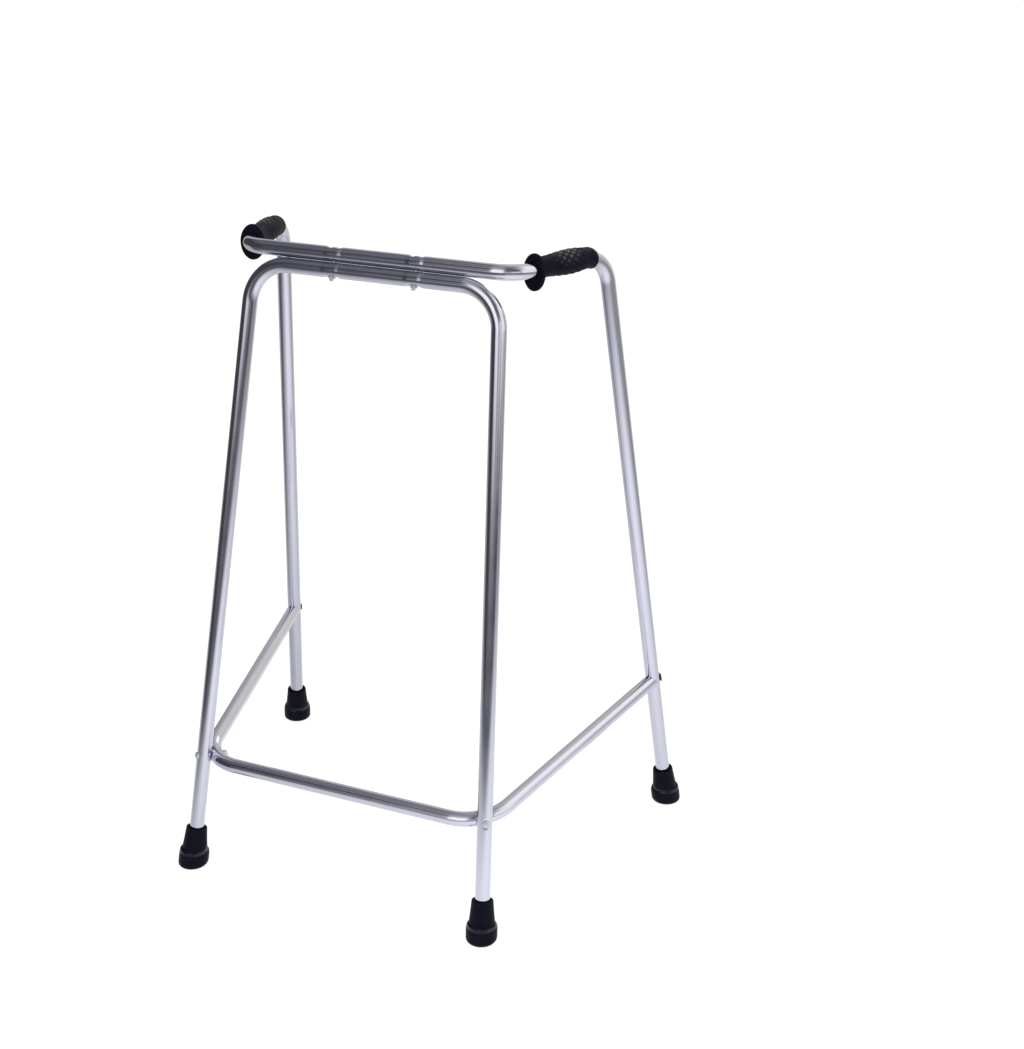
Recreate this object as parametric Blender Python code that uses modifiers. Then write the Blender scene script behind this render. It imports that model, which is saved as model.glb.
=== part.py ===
"""Rigid walking frame of bent aluminium tube, with moulded grips and rubber ferrules.

Metres, +Z up. The closed front faces -Y, the user stands at the open back, +Y.
The origin is on the floor, at the middle of the frame's box.
"""

import math

import bmesh
import bpy
from mathutils import Matrix, Vector

MM = 0.001

# Clearance between pieces that touch
FIT_GAP = 0.3 * MM

# Tube stock, three quarter inch
TUBE_RADIUS = 9.525 * MM
TUBE_WALL = 1.4 * MM
TUBE_SIDES = 14

# Front frame: one inverted U
FRONT_FOOT_HALF = 212.7 * MM
FRONT_TOP_HALF = 168.0 * MM
FRONT_TOP_BACK = 156.5 * MM
FRONT_BEND = 52.0 * MM

# Handle frame: rear legs, grip rails and the upper cross bar in one tube
CROSS_HEIGHT = 805.0 * MM
CROSS_HALF = 185.0 * MM
CROSS_BEND = 40.0 * MM
RAIL_END_HALF = 230.5 * MM
RAIL_RUN = 165.0 * MM
RAIL_DROP = 8.5 * MM
REAR_BEND = 42.0 * MM
REAR_FOOT_HALF = 302.6 * MM
REAR_FOOT_BACK = 421.4 * MM
STACK_TILT = math.radians(23.0)

# Lower brace: a U that is bolted inside the front legs and ends on the rear legs
BRACE_FRONT_HEIGHT = 145.0 * MM
BRACE_REAR_HEIGHT = 195.0 * MM
BRACE_BEND = 60.0 * MM
BRACE_PINCH = 2.4 * MM

BEND_STEPS = 7
BRACE_BEND_STEPS = 14
COPE_SIDES = 32

# Dents and flats that the bolts pull into the tubes
TOP_DENT = 2.9 * MM
UNDER_DENT = 2.4 * MM
SEAT_FLAT = 1.2 * MM
DENT_FLAT_HALF = 6.0 * MM
DENT_TAPER = 7.0 * MM
SEAT_TAPER = 4.0 * MM
PINCH_FLAT_HALF = 1.0 * MM
PINCH_TAPER = 11.0 * MM

# Bolts through the two stacked bars
TOP_BOLT_HALF = 56.0 * MM
TOP_BOLT_RADIUS = 2.5 * MM
TOP_HEAD_RADIUS = 5.5 * MM
TOP_HEAD_HEIGHT = 1.9 * MM
TOP_NUT_FLATS = 8.0 * MM
TOP_NUT_HEIGHT = 2.7 * MM
TOP_BOLT_STUB = 4.0 * MM

# Bolts of the brace
BRACE_BOLT_RADIUS = 3.0 * MM
BRACE_HEAD_RADIUS = 5.5 * MM
BRACE_HEAD_HEIGHT = 4.0 * MM
BRACE_NUT_FLATS = 10.0 * MM
BRACE_NUT_HEIGHT = 5.0 * MM
BRACE_BOLT_STUB = 1.5 * MM
BOLT_CHAMFER = 0.6 * MM
NUT_SIDES = 6
HEAD_RIM_HEIGHT = 0.4 * MM
BOLT_SIDES = 12
DOME_STEPS = 3
HOLE_SIDES = 16

# Moulded saddle between each rear leg and its bolt's head
SADDLE_THICKNESS = 3.6 * MM
SADDLE_SEAT = 2.8 * MM
SADDLE_HEIGHT = 11.0 * MM
SADDLE_HALF_ANGLE = math.radians(60.0)
SADDLE_STEPS = 8

# Threaded plug in each end of the brace
PLUG_SETBACK = 3.0 * MM
PLUG_LENGTH = 25.0 * MM
PLUG_THREAD_DEPTH = 18.0 * MM
REAR_BOLT_REACH = 15.0 * MM
PLUG_SIDES = 20

# Ferrule, measured from the floor along the leg
FERRULE_HEIGHT = 53.0 * MM
FERRULE_RIM_RADIUS = 13.8 * MM
FERRULE_SLEEVE_RADIUS = 16.5 * MM
FERRULE_BASE_RADIUS = 19.8 * MM
FERRULE_BASE_TOP = 19.0 * MM
FERRULE_SHOULDER = 5.0 * MM
FERRULE_EDGE = 5.5 * MM
FERRULE_SOLE = 9.0 * MM
FERRULE_RIM_LIP = 1.2 * MM
FERRULE_SIDES = 20
FERRULE_EDGE_STEPS = 3

# Washer between the leg's end and the sole
WASHER_THICKNESS = 1.6 * MM
WASHER_RADIUS = 9.2 * MM
WASHER_BORE_RADIUS = 4.0 * MM

# Hand grip, along its rail from the front face of the hand stop
GRIP_LENGTH = 113.5 * MM
GRIP_COLUMNS = 20
GRIP_BORE_STEPS = 4
GRIP_RISE = 2.1 * MM
STOP_HALF_WIDTH = 15.8 * MM
STOP_HALF_HEIGHT = 22.5 * MM
STOP_DROP = 2.4 * MM
STOP_THICKNESS = 7.0 * MM
STOP_EDGE = 2.6 * MM
STOP_EDGE_STEPS = 2
STOP_CONE = 5.0 * MM
STOP_CONE_STEPS = 3
NECK_RADIUS = 12.9 * MM
NECK_END = 20.0 * MM
NECK_HALF_WIDTH = 11.9 * MM
BELLY_AT = 68.0 * MM
BELLY_HALF_WIDTH = 14.6 * MM
BELLY_HALF_HEIGHT = 15.0 * MM
BELLY_END = 110.0 * MM
TAIL_RADIUS = 12.8 * MM
TAIL_RIM_RADIUS = 10.8 * MM
TAIL_EDGE = 5.0 * MM
TAIL_EDGE_STEPS = 3
NUB_START = 33.0 * MM
NUB_END = 92.0 * MM
NUB_PITCH = 6.5 * MM
NUB_HEIGHT = 0.5 * MM

# Cutters reach through one tube, or through two that touch
ONE_TUBE = 4.0 * TUBE_RADIUS
TWO_TUBES = 6.0 * TUBE_RADIUS

SHARP_ANGLE = math.radians(35.0)
MERGE_DISTANCE = 0.01 * MM
UP = Vector((0.0, 0.0, 1.0))
ACROSS = Vector((1.0, 0.0, 0.0))


# Scene and materials

def clear_scene():
    """Empty the file of its start-up objects."""
    for old in list(bpy.data.objects):
        bpy.data.objects.remove(old, do_unlink=True)


def make_collection(name):
    """A collection linked to the scene."""
    found = bpy.data.collections.new(name)
    bpy.context.scene.collection.children.link(found)
    return found


def make_material(name, colour, metallic, roughness):
    """A Principled material with one colour."""
    material = bpy.data.materials.new(name)
    material.use_nodes = True
    shader = material.node_tree.nodes["Principled BSDF"]
    shader.inputs["Base Color"].default_value = (*colour, 1.0)
    shader.inputs["Metallic"].default_value = metallic
    shader.inputs["Roughness"].default_value = roughness
    return material


# Geometry of the centre lines

def mirrored(point):
    """The same point on the other side of the frame."""
    return Vector((-point.x, point.y, point.z))


def on_line(start, end, height):
    """The point at a height on the line from start to end."""
    share = (height - start.z) / (end.z - start.z)
    return start.lerp(end, share)


def corner_trim(before, corner, after, radius):
    """How far from a corner its bend begins."""
    turn = (corner - before).angle(after - corner)
    return radius * math.tan(turn / 2.0)


def bend_points(before, corner, after, radius, steps):
    """Points along the arc of a bend that rounds a corner."""
    back = (before - corner).normalized()
    ahead = (after - corner).normalized()
    trim = corner_trim(before, corner, after, radius)
    turn = (-back).angle(ahead)
    centre = corner + (back + ahead).normalized() * math.hypot(radius, trim)
    outward = corner + back * trim - centre
    axis = back.cross(ahead).normalized()
    return [centre + Matrix.Rotation(-turn * step / steps, 3, axis) @ outward
            for step in range(steps + 1)]


def rounded_path(corners, radii, steps):
    """A centre line of straight runs, with an arc at each inner corner."""
    points = [corners[0]]
    for index, radius in enumerate(radii, start=1):
        before, corner, after = corners[index - 1:index + 2]
        points += bend_points(before, corner, after, radius, steps)
    points.append(corners[-1])
    return points


def add_stations(points, centre, offsets):
    """Extra points on the straight run that passes through a place."""
    for index in range(len(points) - 1):
        start, end = points[index], points[index + 1]
        run = end - start
        along = (centre - start).dot(run.normalized())
        aside = (centre - start - run.normalized() * along).length
        if aside < FIT_GAP and 0.0 < along < run.length:
            extra = [centre + run.normalized() * offset for offset in offsets]
            return points[:index + 1] + extra + points[index + 1:]
    return points


def dent_offsets(flat_half, taper):
    """Places of the tube's rings along a dent."""
    return (-flat_half - taper, -flat_half - taper / 2.0, -flat_half, 0.0,
            flat_half, flat_half + taper / 2.0, flat_half + taper)


# The frame's corners, on the right side

STACK_UP = Vector((0.0, math.sin(STACK_TILT), math.cos(STACK_TILT)))
STACK_SPACING = 2.0 * TUBE_RADIUS + FIT_GAP
CROSS_CORNER = Vector((CROSS_HALF, FRONT_TOP_BACK, CROSS_HEIGHT))
CROSS_CORNER.y += STACK_SPACING * STACK_UP.y
FRONT_FOOT = Vector((FRONT_FOOT_HALF, 0.0, 0.0))
FRONT_CORNER = Vector((FRONT_TOP_HALF, FRONT_TOP_BACK, CROSS_HEIGHT - STACK_SPACING * STACK_UP.z))
REAR_FOOT = Vector((REAR_FOOT_HALF, REAR_FOOT_BACK, 0.0))
REAR_CORNER = Vector((RAIL_END_HALF, CROSS_CORNER.y + RAIL_RUN, CROSS_HEIGHT - RAIL_DROP))
FRONT_LEG = (FRONT_CORNER - FRONT_FOOT).normalized()
REAR_LEG = (REAR_CORNER - REAR_FOOT).normalized()
BRACE_END = on_line(REAR_FOOT, REAR_CORNER, BRACE_REAR_HEIGHT)
LEG_END = FERRULE_SOLE + WASHER_THICKNESS + 2.0 * FIT_GAP


def brace_joint():
    """Corner of the brace's centre line, and the bolt's points in leg and brace.

    The bend's outer side, pinched flat, lies against the inner side of the front leg.
    """
    leg_point = on_line(FRONT_FOOT, FRONT_CORNER, BRACE_FRONT_HEIGHT)
    side = (BRACE_END - leg_point).normalized()
    inward = (side - ACROSS).normalized()
    tangent = (side + ACROSS).normalized()
    outward = FRONT_LEG.cross(tangent).normalized()
    if outward.dot(inward) > 0.0:
        outward.negate()
    spacing = 2.0 * TUBE_RADIUS + FIT_GAP - BRACE_PINCH
    offset = spacing / abs(outward.dot(inward))
    turn = ACROSS.angle(side)
    sagitta = BRACE_BEND * (1.0 / math.cos(turn / 2.0) - 1.0)
    corner = leg_point + inward * (offset - sagitta)
    across = FRONT_LEG.dot(tangent)
    rise = offset * inward.dot(FRONT_LEG) / (1.0 - across * across)
    in_leg = leg_point + FRONT_LEG * rise
    in_brace = in_leg - outward * spacing
    return corner, in_leg, in_brace, outward


BRACE_CORNER, BOLT_IN_LEG, BOLT_IN_BRACE, BOLT_OUT = brace_joint()
BRACE_SIDE = (BRACE_END - BRACE_CORNER).normalized()


# Mesh helpers

def add_object(name, mesh, collection, parent, material=None):
    """Link a mesh object under its parent, shaded smooth between its sharp edges."""
    made = bpy.data.objects.new(name, mesh)
    collection.objects.link(made)
    made.parent = parent
    if material:
        mesh.materials.append(material)
    mesh.shade_smooth()
    mesh.set_sharp_from_angle(angle=SHARP_ANGLE)
    return made


def evaluated_mesh(made):
    """The object's mesh with its curve or modifiers worked out."""
    graph = bpy.context.evaluated_depsgraph_get()
    return bpy.data.meshes.new_from_object(made.evaluated_get(graph))


def open_tube(name, points, kit):
    """An uncapped tube surface swept along a centre line by a bevelled curve."""
    curve = bpy.data.curves.new(name + "_line", "CURVE")
    curve.dimensions = "3D"
    curve.bevel_depth = TUBE_RADIUS
    curve.bevel_resolution = TUBE_SIDES // 2 - 2
    curve.use_fill_caps = False
    spline = curve.splines.new("POLY")
    spline.points.add(len(points) - 1)
    for knot, point in zip(spline.points, points):
        knot.co = (*point, 1.0)
    guide = bpy.data.objects.new(name + "_line", curve)
    kit.cutters.objects.link(guide)
    mesh = evaluated_mesh(guide)
    bpy.data.objects.remove(guide)
    shape = bmesh.new()
    shape.from_mesh(mesh)
    bmesh.ops.recalc_face_normals(shape, faces=shape.faces)
    shape.to_mesh(mesh)
    shape.free()
    mesh.name = name
    return add_object(name, mesh, kit.parts, kit.root, kit.metal)


def press_dent(tube, centre, outward, along, depth, flat_half, taper):
    """Flatten the tube's side where a bolt or another tube presses on it."""
    for vertex in tube.data.vertices:
        offset = vertex.co - centre
        distance = abs(offset.dot(along))
        if distance > flat_half + taper or offset.length > distance + 2.0 * TUBE_RADIUS:
            continue
        share = min(max((distance - flat_half) / taper, 0.0), 1.0)
        fade = 0.5 + 0.5 * math.cos(math.pi * share)
        excess = offset.dot(outward) - (TUBE_RADIUS - depth * fade)
        if excess > 0.0:
            vertex.co -= outward * excess


def give_wall(tube):
    """Turn the tube's surface into a wall with open ends."""
    solid = tube.modifiers.new("wall", "SOLIDIFY")
    solid.thickness = TUBE_WALL
    solid.offset = -1.0


def drill(made, cutter):
    """Cut one solid out of another."""
    cut = made.modifiers.new(cutter.name, "BOOLEAN")
    cut.operation = "DIFFERENCE"
    cut.solver = "EXACT"
    cut.object = cutter


def make_cutter(name, centre, along, radius, length, sides, kit):
    """A round cutter, hidden from the model."""
    mesh = bpy.data.meshes.new(name)
    shape = bmesh.new()
    bmesh.ops.create_cone(shape, cap_ends=True, segments=sides,
                          radius1=radius, radius2=radius, depth=length)
    shape.to_mesh(mesh)
    shape.free()
    cutter = add_object(name, mesh, kit.cutters, kit.root)
    place(cutter, centre, along)
    cutter.hide_render = True
    cutter.display_type = "WIRE"
    return cutter


def turned(name, profile, sides, kit, material, closed=False):
    """A solid turned about Z from a profile of radius and height, outer side downwards."""
    mesh = bpy.data.meshes.new(name)
    points = [(radius, 0.0, height) for radius, height in profile]
    edges = [(index, index + 1) for index in range(len(points) - 1)]
    if closed:
        edges.append((len(points) - 1, 0))
    mesh.from_pydata(points, edges, [])
    made = bpy.data.objects.new(name, mesh)
    kit.parts.objects.link(made)
    screw = made.modifiers.new("turn", "SCREW")
    screw.axis = "Z"
    screw.steps = sides
    screw.render_steps = sides
    screw.use_merge_vertices = True
    screw.merge_threshold = MERGE_DISTANCE
    solid = evaluated_mesh(made)
    bpy.data.objects.remove(made)
    solid.name = name
    return add_object(name, solid, kit.parts, kit.root, material)


def place(made, centre, along):
    """Set an object down at a point, with its Z axis along a direction."""
    made.location = centre
    made.rotation_euler = along.to_track_quat("Z", "Y").to_euler()


def ring_loft(name, rings, kit, material):
    """A closed body through rings of points; the last ring joins the first."""
    columns = len(rings[0])
    points = [point for ring in rings for point in ring]
    faces = []
    for row in range(len(rings)):
        after = (row + 1) % len(rings)
        for column in range(columns):
            beside = (column + 1) % columns
            faces.append((row * columns + column, row * columns + beside,
                          after * columns + beside, after * columns + column))
    mesh = bpy.data.meshes.new(name)
    mesh.from_pydata(points, [], faces)
    shape = bmesh.new()
    shape.from_mesh(mesh)
    bmesh.ops.recalc_face_normals(shape, faces=shape.faces)
    shape.to_mesh(mesh)
    shape.free()
    return add_object(name, mesh, kit.parts, kit.root, material)


# Tubes

def both_sides(right_points):
    """A centre line from the left foot over the middle to the right foot."""
    left = [mirrored(point) for point in right_points]
    return left + list(reversed(right_points))


def bolt_in_lower_bar(side):
    """Point on the lower cross bar's axis where a top bolt passes."""
    return Vector((side * TOP_BOLT_HALF, FRONT_CORNER.y, FRONT_CORNER.z))


def bolt_in_upper_bar(side):
    """Point on the upper cross bar's axis where a top bolt passes."""
    return bolt_in_lower_bar(side) + STACK_UP * STACK_SPACING


def for_side(side, point):
    """A right-hand point, or its mirror image for the left side."""
    return point.copy() if side > 0 else mirrored(point)


def build_front_frame(kit):
    """Front legs and lower cross bar: seats for the brace bolts, dents under the bar."""
    start = FRONT_FOOT + FRONT_LEG * LEG_END
    corners = both_sides([start, FRONT_CORNER])
    points = rounded_path(corners, (FRONT_BEND, FRONT_BEND), BEND_STEPS)
    for side in (-1, 1):
        points = add_stations(points, bolt_in_lower_bar(side),
                              dent_offsets(DENT_FLAT_HALF, DENT_TAPER))
        points = add_stations(points, for_side(side, BOLT_IN_LEG),
                              dent_offsets(DENT_FLAT_HALF, SEAT_TAPER))
    tube = open_tube("front_frame_tube", points, kit)
    for side in (-1, 1):
        press_dent(tube, bolt_in_lower_bar(side), -STACK_UP, ACROSS, UNDER_DENT,
                   DENT_FLAT_HALF, DENT_TAPER)
        press_dent(tube, for_side(side, BOLT_IN_LEG), for_side(side, BOLT_OUT),
                   for_side(side, FRONT_LEG), SEAT_FLAT, DENT_FLAT_HALF, SEAT_TAPER)
    give_wall(tube)
    return tube


def build_handle_frame(kit):
    """Rear legs, grip rails and upper cross bar, with the bolts' dents on top."""
    start = REAR_FOOT + REAR_LEG * LEG_END
    corners = both_sides([start, REAR_CORNER, CROSS_CORNER])
    radii = (REAR_BEND, CROSS_BEND, CROSS_BEND, REAR_BEND)
    points = rounded_path(corners, radii, BEND_STEPS)
    for side in (-1, 1):
        points = add_stations(points, bolt_in_upper_bar(side),
                              dent_offsets(DENT_FLAT_HALF, DENT_TAPER))
    tube = open_tube("handle_frame_tube", points, kit)
    for side in (-1, 1):
        press_dent(tube, bolt_in_upper_bar(side), STACK_UP, ACROSS, TOP_DENT,
                   DENT_FLAT_HALF, DENT_TAPER)
    give_wall(tube)
    return tube


def build_brace(kit):
    """Brace tube: pinched where it lies on the front legs, ends cut round the rear legs."""
    corners = both_sides([BRACE_END, BRACE_CORNER])
    points = rounded_path(corners, (BRACE_BEND, BRACE_BEND), BRACE_BEND_STEPS)
    tube = open_tube("lower_brace_tube", points, kit)
    for side in (-1, 1):
        outward = for_side(side, BOLT_OUT)
        along = outward.cross(for_side(side, FRONT_LEG)).normalized()
        centre = for_side(side, BOLT_IN_BRACE)
        press_dent(tube, centre, outward, along, BRACE_PINCH, PINCH_FLAT_HALF, PINCH_TAPER)
        press_dent(tube, centre, -outward, along, SEAT_FLAT, DENT_FLAT_HALF, SEAT_TAPER)
    give_wall(tube)
    for side, word in ((-1, "left"), (1, "right")):
        cope = make_cutter("cope_" + word, for_side(side, BRACE_END), for_side(side, REAR_LEG),
                           TUBE_RADIUS + FIT_GAP, ONE_TUBE, COPE_SIDES, kit)
        drill(tube, cope)
    return tube


# Bolts, nuts, plugs and washers

def bolt_profile(head_radius, head_height, shank_radius, length):
    """Profile of a bolt: domed head above Z = 0, plain shank with a chamfer below it."""
    turns = [math.pi / 2.0 * step / DOME_STEPS for step in range(DOME_STEPS + 1)]
    crown = head_height - HEAD_RIM_HEIGHT
    dome = [(head_radius * math.sin(turn), HEAD_RIM_HEIGHT + crown * math.cos(turn))
            for turn in turns]
    return dome + [(head_radius, 0.0), (shank_radius, 0.0),
                   (shank_radius, BOLT_CHAMFER - length),
                   (shank_radius - BOLT_CHAMFER, -length), (0.0, -length)]


def make_nut(name, flats, height, bore_radius, centre, along, kit):
    """A hexagon nut with chamfered corners and a round bore, its seat face at the centre."""
    mesh = bpy.data.meshes.new(name)
    shape = bmesh.new()
    corner_radius = flats / 2.0 / math.cos(math.pi / NUT_SIDES)
    bmesh.ops.create_cone(shape, cap_ends=True, segments=NUT_SIDES, depth=height,
                          radius1=corner_radius, radius2=corner_radius)
    shape.to_mesh(mesh)
    shape.free()
    nut = add_object(name, mesh, kit.parts, kit.root, kit.steel)
    place(nut, centre + along * (height / 2.0), along)
    bore = make_cutter(name + "_bore", nut.location, along, bore_radius,
                       height * 2.0, HOLE_SIDES, kit)
    drill(nut, bore)
    return nut


def build_top_fixings(kit):
    """Bolts through both cross bars, with a thin nut in the dent under each."""
    for side, word in ((-1, "left"), (1, "right")):
        lower, upper = bolt_in_lower_bar(side), bolt_in_upper_bar(side)
        seat = upper + STACK_UP * (TUBE_RADIUS - TOP_DENT + FIT_GAP)
        end = lower - STACK_UP * (TUBE_RADIUS + TOP_BOLT_STUB)
        profile = bolt_profile(TOP_HEAD_RADIUS, TOP_HEAD_HEIGHT, TOP_BOLT_RADIUS,
                               (seat - end).length)
        bolt = turned("top_bolt_" + word, profile, BOLT_SIDES, kit, kit.steel)
        place(bolt, seat, STACK_UP)
        nut_seat = lower - STACK_UP * (TUBE_RADIUS - UNDER_DENT + FIT_GAP)
        make_nut("top_nut_" + word, TOP_NUT_FLATS, TOP_NUT_HEIGHT,
                 TOP_BOLT_RADIUS + FIT_GAP, nut_seat, -STACK_UP, kit)
        hole = make_cutter("top_hole_" + word, (lower + upper) / 2.0, STACK_UP,
                           TOP_BOLT_RADIUS + FIT_GAP, TWO_TUBES, HOLE_SIDES, kit)
        drill(kit.front_frame, hole)
        drill(kit.handle_frame, hole)


def build_front_fixings(kit):
    """Bolts from outside each front leg through the brace's bend to a nut inside it."""
    for side, word in ((-1, "left"), (1, "right")):
        outward = for_side(side, BOLT_OUT)
        in_leg = for_side(side, BOLT_IN_LEG)
        in_brace = for_side(side, BOLT_IN_BRACE)
        seat = in_leg + outward * (TUBE_RADIUS - SEAT_FLAT + FIT_GAP)
        nut_seat = in_brace - outward * (TUBE_RADIUS - SEAT_FLAT + FIT_GAP)
        end = nut_seat - outward * (BRACE_NUT_HEIGHT + BRACE_BOLT_STUB)
        profile = bolt_profile(BRACE_HEAD_RADIUS, BRACE_HEAD_HEIGHT, BRACE_BOLT_RADIUS,
                               (seat - end).length)
        bolt = turned("front_bolt_" + word, profile, BOLT_SIDES, kit, kit.steel)
        place(bolt, seat, outward)
        make_nut("front_nut_" + word, BRACE_NUT_FLATS, BRACE_NUT_HEIGHT,
                 BRACE_BOLT_RADIUS + FIT_GAP, nut_seat, -outward, kit)
        hole = make_cutter("front_hole_" + word, (in_leg + in_brace) / 2.0, outward,
                           BRACE_BOLT_RADIUS + FIT_GAP, TWO_TUBES, HOLE_SIDES, kit)
        drill(kit.front_frame, hole)
        drill(kit.brace, hole)


def make_saddle(name, centre, leg, outward, kit):
    """A block curved to the leg, with its outer side cut flat for the bolt's head."""
    square = (outward - leg * outward.dot(leg)).normalized()
    aside = leg.cross(square)
    inner = TUBE_RADIUS + FIT_GAP
    outer = inner + SADDLE_THICKNESS
    turns = [SADDLE_HALF_ANGLE * (2.0 * step / SADDLE_STEPS - 1.0)
             for step in range(SADDLE_STEPS + 1)]
    section = [(inner * math.cos(turn), inner * math.sin(turn)) for turn in turns]
    section += [(min(outer * math.cos(turn), inner + SADDLE_SEAT), outer * math.sin(turn))
                for turn in reversed(turns)]
    mesh = bpy.data.meshes.new(name)
    shape = bmesh.new()
    corner = centre - leg * (SADDLE_HEIGHT / 2.0)
    face = shape.faces.new([shape.verts.new(corner + square * out + aside * across)
                            for out, across in section])
    raised = bmesh.ops.extrude_face_region(shape, geom=[face])["geom"]
    bmesh.ops.translate(shape, vec=leg * SADDLE_HEIGHT,
                        verts=[part for part in raised if isinstance(part, bmesh.types.BMVert)])
    bmesh.ops.recalc_face_normals(shape, faces=shape.faces)
    shape.to_mesh(mesh)
    shape.free()
    return add_object(name, mesh, kit.parts, kit.root, kit.plug)


def build_rear_fixings(kit):
    """Bolts through a saddle and each rear leg into a threaded plug in the brace's end."""
    for side, word in ((-1, "left"), (1, "right")):
        backward = for_side(side, BRACE_SIDE)
        in_leg = for_side(side, BRACE_END)
        saddle = make_saddle("rear_saddle_" + word, in_leg, for_side(side, REAR_LEG),
                             backward, kit)
        seat = in_leg + backward * (TUBE_RADIUS + SADDLE_SEAT + 2.0 * FIT_GAP)
        plug_face = in_leg - backward * (TUBE_RADIUS + PLUG_SETBACK)
        end = plug_face - backward * REAR_BOLT_REACH
        profile = bolt_profile(BRACE_HEAD_RADIUS, BRACE_HEAD_HEIGHT, BRACE_BOLT_RADIUS,
                               (seat - end).length)
        bolt = turned("rear_bolt_" + word, profile, BOLT_SIDES, kit, kit.steel)
        place(bolt, seat, backward)
        hole = make_cutter("rear_hole_" + word, in_leg, backward,
                           BRACE_BOLT_RADIUS + FIT_GAP, ONE_TUBE, HOLE_SIDES, kit)
        drill(kit.handle_frame, hole)
        drill(saddle, hole)
        plug_radius = TUBE_RADIUS - TUBE_WALL - FIT_GAP
        thread_radius = BRACE_BOLT_RADIUS + FIT_GAP
        rim = [(thread_radius, 0.0), (plug_radius, 0.0), (plug_radius, -PLUG_LENGTH),
               (0.0, -PLUG_LENGTH)]
        bore = [(0.0, -PLUG_THREAD_DEPTH), (thread_radius, -PLUG_THREAD_DEPTH)]
        plug = turned("brace_plug_" + word, bore + rim, PLUG_SIDES, kit, kit.plug)
        place(plug, plug_face, backward)


# Ferrules

def ferrule_profile():
    """Socket bottom, up the socket, over the rim, down the sleeve and base to the sole."""
    bore = TUBE_RADIUS + FIT_GAP
    inside = [(0.0, FERRULE_SOLE), (bore, FERRULE_SOLE), (bore, FERRULE_HEIGHT)]
    rim = [(FERRULE_RIM_RADIUS - FERRULE_RIM_LIP, FERRULE_HEIGHT),
           (FERRULE_RIM_RADIUS, FERRULE_HEIGHT - FERRULE_RIM_LIP)]
    shoulder = FERRULE_BASE_TOP + FERRULE_SHOULDER
    sleeve = [(FERRULE_SLEEVE_RADIUS, shoulder)]
    base = [(FERRULE_BASE_RADIUS - FERRULE_RIM_LIP, FERRULE_BASE_TOP + FERRULE_RIM_LIP),
            (FERRULE_BASE_RADIUS, FERRULE_BASE_TOP - FERRULE_RIM_LIP)]
    turns = [math.pi / 2.0 * step / FERRULE_EDGE_STEPS for step in range(FERRULE_EDGE_STEPS + 1)]
    edge = [(FERRULE_BASE_RADIUS - FERRULE_EDGE * (1.0 - math.cos(turn)),
             FERRULE_EDGE * (1.0 - math.sin(turn))) for turn in turns]
    return inside + rim + sleeve + base + edge + [(0.0, 0.0)]


def level_sole(ferrule, leg):
    """Slide the base's points along the leg until its rings lie level with the floor.

    The sleeve stays square to the leg, and the shoulder blends between the two.
    """
    bore = TUBE_RADIUS + FIT_GAP
    blend_top = FERRULE_BASE_TOP + FERRULE_SHOULDER
    turn = leg.to_track_quat("Z", "Y").to_matrix()
    for vertex in ferrule.data.vertices:
        height = vertex.co.z
        radius = math.hypot(vertex.co.x, vertex.co.y)
        if height > FERRULE_SOLE / 2.0 and radius < bore + FIT_GAP:
            continue
        share = (blend_top - height) / (blend_top - FERRULE_EDGE)
        share = min(max(share, 0.0), 1.0)
        sideways = turn @ Vector((vertex.co.x, vertex.co.y, 0.0))
        vertex.co.z -= share * sideways.z / leg.z


def build_foot(name, foot, leg, kit):
    """A ferrule on a leg, and the washer that keeps the tube from cutting its sole."""
    ferrule = turned("ferrule_" + name, ferrule_profile(), FERRULE_SIDES, kit, kit.rubber)
    level_sole(ferrule, leg)
    place(ferrule, foot, leg)
    ring = [(WASHER_BORE_RADIUS, WASHER_THICKNESS), (WASHER_RADIUS, WASHER_THICKNESS),
            (WASHER_RADIUS, 0.0), (WASHER_BORE_RADIUS, 0.0)]
    washer = turned("washer_" + name, ring, BOLT_SIDES, kit, kit.steel, closed=True)
    place(washer, foot + leg * (FERRULE_SOLE + FIT_GAP), leg)


# Hand grips

def ease(share):
    """A smooth step from 0 to 1."""
    share = min(max(share, 0.0), 1.0)
    return share * share * (3.0 - 2.0 * share)


def rail_frame(distance):
    """Centre and direction on the right rail, at a distance behind the front bend."""
    forward = (CROSS_CORNER - REAR_CORNER).normalized()
    front_trim = corner_trim(REAR_CORNER, CROSS_CORNER, CROSS_CORNER - ACROSS, CROSS_BEND)
    rear_trim = corner_trim(REAR_FOOT, REAR_CORNER, CROSS_CORNER, REAR_BEND)
    straight = (CROSS_CORNER - REAR_CORNER).length - front_trim - rear_trim
    run = min(distance, straight)
    centre = CROSS_CORNER - forward * (front_trim + run)
    if distance <= straight:
        return centre, -forward
    turn = (distance - straight) / REAR_BEND
    down = (REAR_FOOT - REAR_CORNER).normalized()
    inner = (down - (-forward) * down.dot(-forward)).normalized()
    centre += -forward * (REAR_BEND * math.sin(turn)) + inner * (REAR_BEND * (1.0 - math.cos(turn)))
    return centre, -forward * math.cos(turn) + inner * math.sin(turn)


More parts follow.
